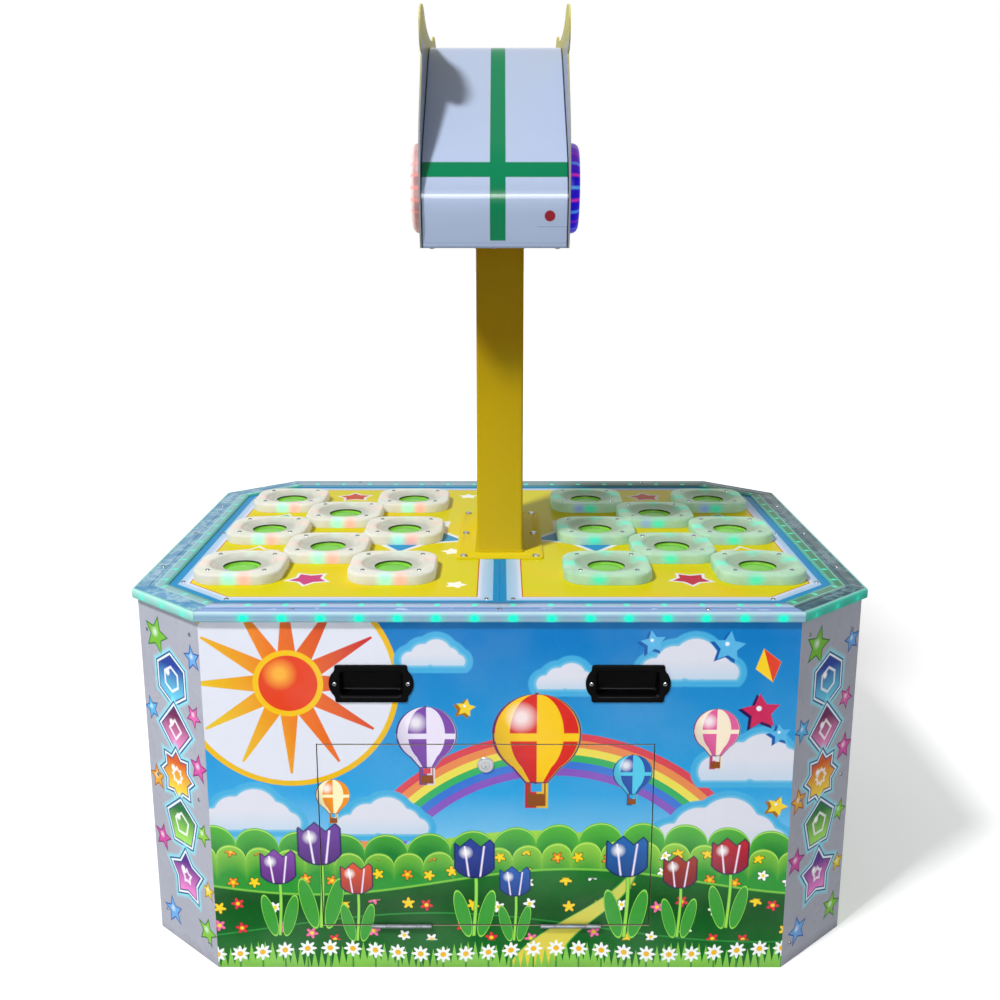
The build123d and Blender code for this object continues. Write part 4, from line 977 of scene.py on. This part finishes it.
def points_tree():
    """Geometry Nodes: one part set on each point, turned to the point's direction."""
    tree = bpy.data.node_groups.get("parts on points")
    if tree:
        return tree
    tree = bpy.data.node_groups.new("parts on points", "GeometryNodeTree")
    for label, kind in (("Places", "Geometry"), ("Part", "Object"), ("Size", "Float"), ("Finish", "Material")):
        tree.interface.new_socket(label, in_out="INPUT", socket_type="NodeSocket" + kind)
    tree.interface.new_socket("Parts", in_out="OUTPUT", socket_type="NodeSocketGeometry")
    start, end = tree.nodes.new("NodeGroupInput"), tree.nodes.new("NodeGroupOutput")
    part = node(tree, "GeometryNodeObjectInfo", {"Object": start.outputs["Part"]}, transform_space="ORIGINAL")
    aim = node(tree, "GeometryNodeInputNamedAttribute", {"Name": "aim"}, data_type="FLOAT_VECTOR")
    turn = node(tree, "FunctionNodeAlignRotationToVector", {"Vector": aim.outputs["Attribute"]}, axis="Z")
    size = node(tree, "ShaderNodeCombineXYZ", {axis: start.outputs["Size"] for axis in range(3)})
    place = node(tree, "GeometryNodeInstanceOnPoints", {
        "Points": start.outputs["Places"], "Instance": part.outputs["Geometry"],
        "Rotation": turn.outputs[0], "Scale": size.outputs[0]})
    real = node(tree, "GeometryNodeRealizeInstances", {"Geometry": place.outputs[0]})
    coat = node(tree, "GeometryNodeSetMaterial", {"Geometry": real.outputs[0], "Material": start.outputs["Finish"]})
    tree.links.new(coat.outputs[0], end.inputs[0])
    return tree


def spread(name, part, places, finish, size=1.0, nodes=()):
    """Sets a part on (place, aim) pairs and keeps the result as one plain mesh."""
    mesh = bpy.data.meshes.new(name)
    mesh.from_pydata([[c * MM for c in place] for place, _ in places], [], [])
    keep_vectors(mesh, "aim", [c for _, aim in places for c in aim])
    piece = bpy.data.objects.new(name, mesh)
    bpy.context.scene.collection.objects.link(piece)
    bpy.context.scene.collection.objects.link(part)
    modifier = piece.modifiers.new("parts", "NODES")
    modifier.node_group = points_tree()
    given = {"Part": part, "Size": size, "Finish": finish}
    for socket in modifier.node_group.interface.items_tree:
        if socket.name in given:
            modifier[socket.identifier] = given[socket.name]
    settle(piece)
    bpy.data.objects.remove(part)
    return dress(piece, finish, "table", nodes)


def with_local(shape, name, angle=35):
    """An object whose mesh remembers its own coordinates, for its finish."""
    mesh = shape.mesh(name, angle)
    keep_vectors(mesh, "local", [c for v in mesh.vertices for c in v.co])
    return bpy.data.objects.new(name, mesh)


def screws(name, places, size=1.0):
    """Domed screws on (place, aim) pairs."""
    radius, height = Settings().screw_radius, Settings().screw_height
    profile = [(0, height), (radius * 0.55, height * 0.94), (radius * 0.88, height * 0.6), (radius, 0.12),
               (radius, -0.3), (0, -0.3)]
    part = with_local(Shape().lathe(profile, (0, 0, 0), count=14), "screw")
    return spread(name, part, places, finish("screw"), size)


# ---------------------------------------------------------------- settings

class TablePrints(bpy.types.PropertyGroup):
    """Colours of the printed foils."""
    deck_yellow: FloatVectorProperty(name="Deck yellow", description="Ground colour of the playing field",
                                     subtype="COLOR", default=rgb("D6CC04")[:3])
    deck_blue: FloatVectorProperty(name="Deck blue", description="Border and centre line of the playing field",
                                   subtype="COLOR", default=rgb("1888C0")[:3])
    stripe_green: FloatVectorProperty(name="Stripe green", description="Crossed stripes on the head", subtype="COLOR",
                                      default=rgb("00744A")[:3])


class TableLamps(bpy.types.PropertyGroup):
    """Colours of the lamps behind milky plastic."""
    lamp_strip: FloatVectorProperty(name="Edge strip", description="Lamps in the edge trim", subtype="COLOR",
                                    default=rgb("18ECC8")[:3])
    lamp_mint: FloatVectorProperty(name="Mint lamp", description="First lamp of a left collar", subtype="COLOR",
                                   default=rgb("A0FFE4")[:3])
    lamp_pink: FloatVectorProperty(name="Pink lamp", description="Second lamp of a left collar", subtype="COLOR",
                                   default=rgb("FFB4AC")[:3])
    lamp_teal: FloatVectorProperty(name="Teal lamp", description="First lamp of a right collar", subtype="COLOR",
                                   default=rgb("18ECC8")[:3])
    lamp_blue: FloatVectorProperty(name="Blue lamp", description="Second lamp of a right collar", subtype="COLOR",
                                   default=rgb("84A4F8")[:3])


class TableHardware(bpy.types.PropertyGroup):
    """Sizes of small hardware, in millimetres."""
    screw_radius: FloatProperty(name="Screw radius", description="Radius of a screw head, in millimetres", default=4.6,
                                min=1.0, max=10.0)
    screw_height: FloatProperty(name="Screw height", description="Height of a screw head, in millimetres", default=2.0,
                                min=0.5, max=5.0)


class TableStage(bpy.types.PropertyGroup):
    """Camera and light."""
    lens: FloatProperty(name="Lens", description="Focal length of the camera, in millimetres", default=42.11, min=10.0,
                        max=200.0)
    key: FloatProperty(name="Key light", description="Power of the main lamp", subtype="POWER", default=332.0, min=0.0)
    fill: FloatProperty(name="World light", description="Strength of the even light from all round", default=0.34,
                        min=0.0, max=2.0)


class Settings:
    """The property groups read as one."""

    def __getattr__(self, name):
        scene = bpy.context.scene
        for group in (scene.table_prints, scene.table_lamps, scene.table_hardware, scene.table_stage):
            if hasattr(group, name):
                return getattr(group, name)
        raise AttributeError(name)


FINISHES = {}


def finish(name):
    """A finish by its short name. All are made when the first is asked for."""
    if not FINISHES:
        FINISHES.update(make_finishes(Settings()))
    return FINISHES[name]


# ---------------------------------------------------------------- cabinet

class TABLE_OT_cabinet(bpy.types.Operator):
    """Prints the panels and finishes the boards and fittings that keep their CAD shape"""
    bl_idname = "table.cabinet"
    bl_label = "Cabinet panels"

    def execute(self, context):
        kept = {
            "front": ("front_panel", "service_door"), "back": ("back_panel",),
            "ends": ("left_end_panel", "right_end_panel"), "corner": ("corner_panels",),
            "deck": ("playfield_left", "playfield_right"), "board": ("deck_board", "base_board", "battens"),
            "face": ("head_face_left", "head_face_right"), "zinc": ("head_floor", "cash_boxes", "power_supply"),
            "black": ("speakers",), "circuit": ("control_board",), "drive": ("mole_drives",),
            "display": ("score_displays",)}
        for name, nodes in kept.items():
            for part in nodes:
                mesh = NODES[part].data
                if not mesh.materials:
                    mesh.materials.append(finish(name))
                for i in range(len(mesh.materials)):
                    mesh.materials[i] = finish(name)
        return {"FINISHED"}


class TABLE_OT_trim(bpy.types.Operator):
    """Sweeps the section of the lit edge trim along the eight sides of the deck"""
    bl_idname = "table.trim"
    bl_label = "Edge trim"

    def execute(self, context):
        long_x, deep_y = HALF_LENGTH - CUT_LONG, HALF_DEPTH - CUT_DEEP
        half = [(-long_x, -HALF_DEPTH), (long_x, -HALF_DEPTH), (HALF_LENGTH, -deep_y), (HALF_LENGTH, deep_y)]
        corners = [Vector(corner) for corner in half + [(-x, -y) for x, y in half]]
        # distance in from the outline, and height
        section = [
            (60, 682), (60, 698.6), (58.8, 700), (31, 700), (30.2, 699), (28, 699), (27.2, 700), (9.2, 700),
            (8.4, 699.3), (7, 699.3), (6.2, 700), (2.4, 700), (1, 699.3), (0.2, 697.6), (0, 695), (0, 684),
            (0.7, 682.4), (2, 682), (30, 682)]
        shapes = {"long": Shape(), "end": Shape(), "corner": Shape()}
        for i, a in enumerate(corners):
            b = corners[(i + 1) % 8]
            along = (b - a).normalized()
            inwards = Vector((-along.y, along.x))
            outlines, bands = [], []
            for here, near, far, gap in ((a, corners[i - 1], a, 0.25), (b, b, corners[(i + 2) % 8], -0.25)):
                other = (far - near).normalized()
                bisector = (inwards + Vector((-other.y, other.x))).normalized()
                slope = bisector / bisector.dot(inwards)
                outline, band = [], []
                for d, z in section:
                    place = here + slope * d + along * gap
                    outline.append((place.x, place.y, z))
                    reach = (place - (a + b) / 2).dot(along) - (23.2 if i == 0 else 0)
                    path = d if z >= 699 and d > 2 else z - 701 if d < 2.5 else 60
                    band.append((reach / LAMP_PITCH, path, 0))
                outlines.append(outline)
                bands.append(band)
            shapes[("long", "corner", "end", "corner")[i % 4]].loft(outlines, bands=bands)
        for kind, part in (("long", "trim_long"), ("end", "trim_ends"), ("corner", "trim_corners")):
            shapes[kind].piece(f"edge_trim_{kind}", finish(f"trim {kind}"), nodes=(part,), slot="clear_trim", angle=50)
        return {"FINISHED"}


class TABLE_OT_collars(bpy.types.Operator):
    """Sets a lit milky collar round each mole hole"""
    bl_idname = "table.collars"
    bl_label = "Mole collars"

    def execute(self, context):
        outer = dense(rounded(167, 167, 47, steps=12), 7)
        turns = [math.atan2(y, x) for x, y in outer]
        rings = [[(radius * math.cos(t), radius * math.sin(t), z) for t in turns] for radius, z in (
            (35, 697), (35, 710), (35.5, 710.8), (44, 711), (53, 712.4), (58, 715), (60, 717.2), (61.4, 718),
            (66, 718))]
        rings += stacked(outer, (
            (-6, 718), (-3.6, 717.7), (-1.7, 716.7), (-0.5, 715), (0, 712.6), (0, 699), (-0.4, 697.4), (-1, 697)))
        for side, sign in SIDES.items():
            part = with_local(Shape().loft(rings, closed=True), "collar")
            places = [((sign * x, y, 0), UP) for x, y in MOLES]
            spread(f"collars_{side}", part, places, finish("milky"), nodes=(f"mole_collars_{side}",))
        screws("collar_screws", [((sign * x + dx, y + dy, COLLAR_TOP), UP) for sign in (-1, 1) for x, y in MOLES
                                 for dx in (-53.3, 53.3) for dy in (-53.3, 53.3)])
        return {"FINISHED"}


class TABLE_OT_moles(bpy.types.Operator):
    """Turns the sixteen domed moles on their square stems"""
    bl_idname = "table.moles"
    bl_label = "Moles"

    def execute(self, context):
        dome = [(0, 707.6), (10, 707.5), (19, 707.2), (26, 706.6), (30, 705.4), (32.2, 703.4), (32.9, 701), (33, 698),
                (33, 664), (32.2, 663), (32.2, 660), (33, 659), (33, 613), (32, 611.4), (30.5, 611), (0, 611)]
        stem = rounded(12, 12, 1.2, 2)
        for side, sign in SIDES.items():
            for number, (x, y) in enumerate(MOLES, 1):
                shape = Shape().lathe(dome, (sign * x, y, 0), count=56)
                shape.loft(stacked(stem, ((0, 611.5), (0, 513), (-1, 511.7)), sign * x, y))
                shape.piece(f"mole_{side}_{number}_cap", finish("mole"), f"mole_body_{side}_{number}",
                            (f"mole_{side}_{number}",), "mole_lime")
        return {"FINISHED"}


class TABLE_OT_pillar(bpy.types.Operator):
    """Shapes the square pillar with its welds, flange, base plate and bolts"""
    bl_idname = "table.pillar"
    bl_label = "Pillar"

    def execute(self, context):
        shape = Shape().loft(stacked(rounded(92, 290, 5), (
            (4.5, 700), (4.2, 701.6), (2.6, 703), (0.8, 704.2), (0, 705.4),
            (0, 1303), (0.8, 1304.4), (2.6, 1306), (4, 1308))))
        shape.loft(stacked(rounded(144, 342, 10), ((-0.6, 1308), (0, 1308.6), (0, 1310.4), (-0.6, 1311))))
        shape.piece("pillar_tube", finish("pillar"), nodes=("pillar",), slot="yellow_paint")
        bevelled("pillar_base_plate", "pillar_foot", finish("foot"), "table", 0.6)
        circle = [(math.cos(math.radians(a)), math.sin(math.radians(a))) for a in range(0, 360, 30)]
        hexagon = dense(circle[::2], 0.5)
        bolt = Shape().loft([[(0, 0, 4)], *[[(size * x, size * y, z) for x, y in outline] for outline, size, z in (
            (circle, 5.4, 4), (hexagon, 7, 3.4), (hexagon, 7, 0.9), (circle, 7, 0.8), (circle, 7, 0), (circle, 4, 0),
            (circle, 4, -18))], [(0, 0, -18)]])
        places = [((x, y, TRIM_TOP), UP) for x in (-72.5, 72.5) for y in (-175.5, 0, 175.5)]
        spread("foot_bolts", with_local(bolt, "bolt", 25), places, finish("zinc"), nodes=("pillar_bolts",))
        return {"FINISHED"}


class TABLE_OT_head(bpy.types.Operator):
    """Bends the head's sheet and lights the rings on its faces"""
    bl_idname = "table.head"
    bl_label = "Head"

    def execute(self, context):
        half = [(316, HEAD_BOTTOM), (336, 1400.8), (306, 1462.2), (45, 1674), (0, 1689.4)]
        bends = softened(half + [(-y, z) for y, z in reversed(half[:-1])], 52, 9, closed=False)
        outer = softened([(298, HEAD_BOTTOM), *bends, (-298, HEAD_BOTTOM)], 0.6, 1, closed=False)
        inner = []
        for i, point in enumerate(outer):
            along = Vector(outer[min(i + 1, len(outer) - 1)]) - Vector(outer[max(i - 1, 0)])
            y, z = Vector(point) + Vector((-along.y, along.x)).normalized() * 2
            inner.append((y, max(z, HEAD_BOTTOM + 2)))
        sheet = Shape().loft([[(HEAD_X + x, y, z) for y, z in outer + inner[::-1]] for x in (-129.4, -43, 43, 129.4)])
        sheet.piece("head_cover", finish("sheet"), nodes=("head_wrap",), slot="head_sheet", angle=30)
        lamps = Shape()
        for sign in (-1, 1):
            profile = [(radius, sign * height) for radius, height in (
                (88, 0), (88.3, 6), (88, 20), (86.5, 26), (83, 30.5), (78, 33), (72, 33), (65, 31.5), (59.5, 27),
                (57, 20), (56, 8), (56, 0))]
            lamps.lathe(profile, (HEAD_X + sign * 132.5, 0, RING_Z), "X", 72, closed=True)
        lamps.piece("ring_lamps", finish("ring"), nodes=("lamp_rings",), slot="ring_lamp")
        screws("head_screws", [((HEAD_X + x, y, 1309.2), (0, 0, -1)) for x in (-112, 0, 112) for y in (-303, 303)])
        return {"FINISHED"}


class TABLE_OT_grips(bpy.types.Operator):
    """Moulds the two recessed grips of the front"""
    bl_idname = "table.grips"
    bl_label = "Recessed grips"

    def execute(self, context):
        front = FRONT + 0.5
        plate = softened([
            (64, 35), (-64, 35), (-64, 24), (-70.5, 17), (-74.6, 6), (-74.6, -6), (-70.5, -17), (-64, -24), (-64, -35),
            (64, -35), (64, -24), (70.5, -17), (74.6, -6), (74.6, 6), (70.5, 17), (64, 24)], 5, 4)

        def mouth(width, height, radius):
            """The mouth's outline met along the plate's own directions."""
            made = []
            for px, pz in plate:
                turn = math.atan2(pz, px)
                dx, dz = math.cos(turn), math.sin(turn)
                reach = min(width / 2 / max(abs(dx), 1e-6), height / 2 / max(abs(dz), 1e-6))
                x, z = dx * reach, dz * reach
                ix, iz = width / 2 - radius, height / 2 - radius
                if abs(x) > ix and abs(z) > iz:
                    ox, oz = abs(x) - ix, abs(z) - iz
                    long = math.hypot(ox, oz) or 1
                    x, z = math.copysign(ix + ox / long * radius, x), math.copysign(iz + oz / long * radius, z)
                made.append((x, z))
            return made

        # plate, mouth, bottom of the cup, and back over its outside
        levels = [(plate, -516), (plate, front + 1), (grown(plate, -0.4), front + 0.3), (grown(plate, -1.2), front)]
        levels += [(mouth(*size), y) for *size, y in (
            (116, 51, 8, front), (114, 49, 8, front + 0.5), (110, 45, 7, front + 2.2), (108, 43, 6, front + 5),
            (107, 42, 6, -497.5), (103, 38, 6, -494.8), (98, 33, 5, -494.2))]
        levels += [([(0, 0)], -494.2), ([(0, 0)], -492)]
        levels += [(mouth(*size), y) for *size, y in (
            (104, 39, 6, -492), (110, 45, 7, -495), (111, 46, 7, -514), (112, 47, 7, -516))]
        for side, sign in SIDES.items():
            rings = [[(sign * GRIP_X + x, y, GRIP_Z + z) for x, z in outline] for outline, y in levels]
            Shape().loft(rings, closed=True).piece(f"grip_{side}_moulding", finish("black"), nodes=(f"grip_{side}",),
                                                   slot="black_plastic", angle=40)
        screws("grip_screws", [((sign * GRIP_X + dx, front, GRIP_Z), (0, -1, 0)) for sign in (-1, 1)
                               for dx in (-64.5, 64.5)], 0.85)
        return {"FINISHED"}


class TABLE_OT_door_hardware(bpy.types.Operator):
    """Turns the lock and breaks the edges of the service door's hinges"""
    bl_idname = "table.door_hardware"
    bl_label = "Door lock and hinges"

    def execute(self, context):
        profile = [(7.3, 0), (7.3, -0.2), (11.5, -0.2), (13.8, 0.5), (15, 1.8), (15, 3), (9.5, 3), (9.5, 19.2),
                   (7.3, 19.2)]
        body = Shape().lathe(profile, (LOCK_X, FRONT, LOCK_Z), "Y", closed=True)
        body.piece("door_lock", finish("chrome"), "door", ("lock_body",), "chrome", angle=30)
        bevelled("lock_cylinder", "lock_plug", finish("chrome"), "lock", 0.25)
        bevelled("hinges_door", "door_hinge_leaves", finish("hinge"), "door", 0.3)
        bevelled("hinges_fixed", "panel_hinge_leaves", finish("hinge"), "table", 0.3)
        return {"FINISHED"}


class TABLE_OT_end_fittings(bpy.types.Operator):
    """Shapes the start buttons, coin units and power inlet"""
    bl_idname = "table.end_fittings"
    bl_label = "Buttons and coin units"

    def execute(self, context):
        bezel = [(23.2, -6), (29.2, 0), (29.4, 0.8), (28.4, 2.6), (26.6, 3.5), (24.6, 3.3), (23.4, 2.2), (22.9, 0),
                 (22.9, -6)]
        cap = [(0, 7.5), (8, 7.4), (15, 6.9), (19.4, 5.9), (21.6, 4.4), (22.3, 2.2), (22.3, -6.5), (0, -6.5)]
        bezels = Shape()
        for side, sign in SIDES.items():
            centre = (sign * BUTTON_X, 0, BUTTON_Z)
            bezels.lathe([(radius, sign * height) for radius, height in bezel], centre, "X", 64, closed=True)
            shape = Shape().lathe([(radius, sign * height) for radius, height in cap], centre, "X", 64)
            shape.piece(f"start_{side}_cap", finish("lit"), f"start_{side}", (f"start_button_{side}",), "button_lit")
            bevelled(f"coin_return_{side}", f"reject_{side}_cap", finish("chrome"), f"reject_{side}", 0.6)
        bezels.piece("start_bezels", finish("black"), nodes=("button_bezels",), slot="black_plastic")
        bevelled("coin_units", "coin_fronts", finish("black"), "table", 0.6)
        bevelled("power_inlet", "mains_inlet", finish("black"), "table", 0.6)
        bevelled("rocker_switch", "mains_rocker", finish("black"), "rocker", 0.5)
        return {"FINISHED"}


class TABLE_OT_screws(bpy.types.Operator):
    """Drives the screws of the deck, the trim and the corner panels"""
    bl_idname = "table.screws"
    bl_label = "Screws"

    def execute(self, context):
        flat = [(sx * x, sy * y, COVER_TOP) for sx in (-1, 1) for sy in (-1, 1)
                for x, y in ((490, 441), (24, 440), (594, 339))]
        flat += [(sx * 600, 12, COVER_TOP) for sx in (-1, 1)]
        flat += [(x, sy * 505, TRIM_TOP) for sy in (-1, 1) for x in (-362, 0, 362)]
        flat += [(sx * 656, y, TRIM_TOP) for sx in (-1, 1) for y in (-250, 0, 250)]
        screws("deck_screws", [(place, UP) for place in flat])
        upright = []
        for sx in (-1, 1):
            for sy in (-1, 1):
                aim = Vector((sx * CORNER_DROP, sy * CORNER_RUN, 0)).normalized()
                tangent = Vector((sx * CORNER_RUN, -sy * CORNER_DROP, 0)).normalized()
                for along, z in ((72, 626), (70, 336), (72, 50), (-66, 331), (-70, 650), (-70, 40)):
                    place = Vector((sx * CORNER_X, sy * CORNER_Y, z)) + tangent * along
                    upright.append((tuple(place), tuple(aim)))
        screws("corner_screws", upright, 0.8)
        return {"FINISHED"}


# ---------------------------------------------------------------- stage

class TABLE_OT_stage(bpy.types.Operator):
    """Lays the floor, sets the soft light and places the camera of the photograph"""
    bl_idname = "table.stage"
    bl_label = "Stage, light and camera"

    def execute(self, context):
        kit = Settings()
        scene = bpy.context.scene
        scene.view_settings.view_transform = "Standard"
        mesh = bpy.data.meshes.new("floor")
        mesh.from_pydata([(-30, -30, 0), (30, -30, 0), (30, 30, 0), (-30, 30, 0)], [], [(0, 1, 2, 3)])
        floor = bpy.data.objects.new("floor", mesh)
        scene.collection.objects.link(floor)
        made = bpy.data.materials.new("pale floor")
        made.use_nodes = True
        tree = made.node_tree
        shader = next(n for n in tree.nodes if n.type == "BSDF_PRINCIPLED")
        coords = node(tree, "ShaderNodeTexCoord")
        patchy = noise(coords.outputs["Object"], 1.5, 3)
        plug(tree, shader.inputs["Base Color"], ramp(patchy, [(0.3, "F0F0F0"), (0.7, "F4F4F4")]))
        shader.inputs["Roughness"].default_value = 0.7
        shader.inputs["Emission Color"].default_value = (1, 1, 1, 1)
        seen = Ink(node(tree, "ShaderNodeLightPath").outputs["Is Camera Ray"])
        glow = span(away(coords.outputs["Object"]), 0.8, 5) * 0.35 + 0.35
        plug(tree, shader.inputs["Emission Strength"], seen * glow)
        mesh.materials.append(made)

        world = bpy.data.worlds.new("soft room")
        scene.world = world
        world.use_nodes = True
        tree = world.node_tree
        tree.nodes.clear()
        rays = node(tree, "ShaderNodeLightPath").outputs
        seen = Ink(rays["Is Camera Ray"]).most(rays["Is Glossy Ray"]).most(rays["Is Transmission Ray"])
        strength = seen * (1 - kit.fill) + kit.fill
        back = node(tree, "ShaderNodeBackground", {"Color": (1, 1, 1, 1), "Strength": strength})
        node(tree, "ShaderNodeOutputWorld", {"Surface": back.outputs[0]})

        def lamp(name, place, target, wide, high, power):
            light = bpy.data.lights.new(name, "AREA")
            light.shape = "ELLIPSE" if wide == high else "RECTANGLE"
            light.size, light.size_y, light.energy = wide, high, power
            thing = bpy.data.objects.new(name, light)
            thing.location = place
            thing.rotation_euler = (Vector(target) - Vector(place)).to_track_quat("-Z", "Y").to_euler()
            scene.collection.objects.link(thing)
            return thing

        lamp("key", (-2.46, -3.12, 5.4), (0, 0, 0.9), 0.8, 0.8, kit.key)
        tube = lamp("front tube", (0.2, -5.5, 2.4), (0, 0, 1.0), 2.6, 0.12, kit.key * 1.1)
        tube.visible_diffuse = False

        camera = bpy.data.cameras.new("photo camera")
        camera.lens, camera.sensor_width, camera.sensor_fit = kit.lens, 36, "HORIZONTAL"
        thing = bpy.data.objects.new("photo camera", camera)
        thing.location = (0.0014, -2.4384, 1.3565)
        thing.rotation_euler = (math.radians(90 - 13.433), math.radians(-0.01), math.radians(0.03))
        scene.collection.objects.link(thing)
        scene.camera = thing
        return {"FINISHED"}


# ---------------------------------------------------------------- panel and running

OPERATORS = (
    TABLE_OT_cabinet, TABLE_OT_trim, TABLE_OT_collars, TABLE_OT_moles, TABLE_OT_pillar, TABLE_OT_head, TABLE_OT_grips,
    TABLE_OT_door_hardware, TABLE_OT_end_fittings, TABLE_OT_screws, TABLE_OT_stage)
GROUPS = {"table_prints": TablePrints, "table_lamps": TableLamps, "table_hardware": TableHardware,
          "table_stage": TableStage}


class TABLE_PT_panel(bpy.types.Panel):
    """Lists the pieces of the table"""
    bl_label = "Mole pounding table"
    bl_idname = "TABLE_PT_panel"
    bl_space_type = "VIEW_3D"
    bl_region_type = "UI"
    bl_category = "Mole table"

    def draw(self, context):
        for name, group in GROUPS.items():
            for prop in group.__annotations__:
                self.layout.prop(getattr(context.scene, name), prop)
        for operator in OPERATORS:
            self.layout.operator(operator.bl_idname)


def register():
    for name, group in GROUPS.items():
        bpy.utils.register_class(group)
        setattr(bpy.types.Scene, name, PointerProperty(type=group))
    for operator in (*OPERATORS, TABLE_PT_panel):
        bpy.utils.register_class(operator)


def unregister():
    for operator in (TABLE_PT_panel, *reversed(OPERATORS)):
        bpy.utils.unregister_class(operator)
    for name, group in GROUPS.items():
        delattr(bpy.types.Scene, name)
        bpy.utils.unregister_class(group)


def main():
    register()
    for operator in OPERATORS:
        group, name = operator.bl_idname.split(".")
        getattr(getattr(bpy.ops, group), name)()


if __name__ == "__main__":
    main()
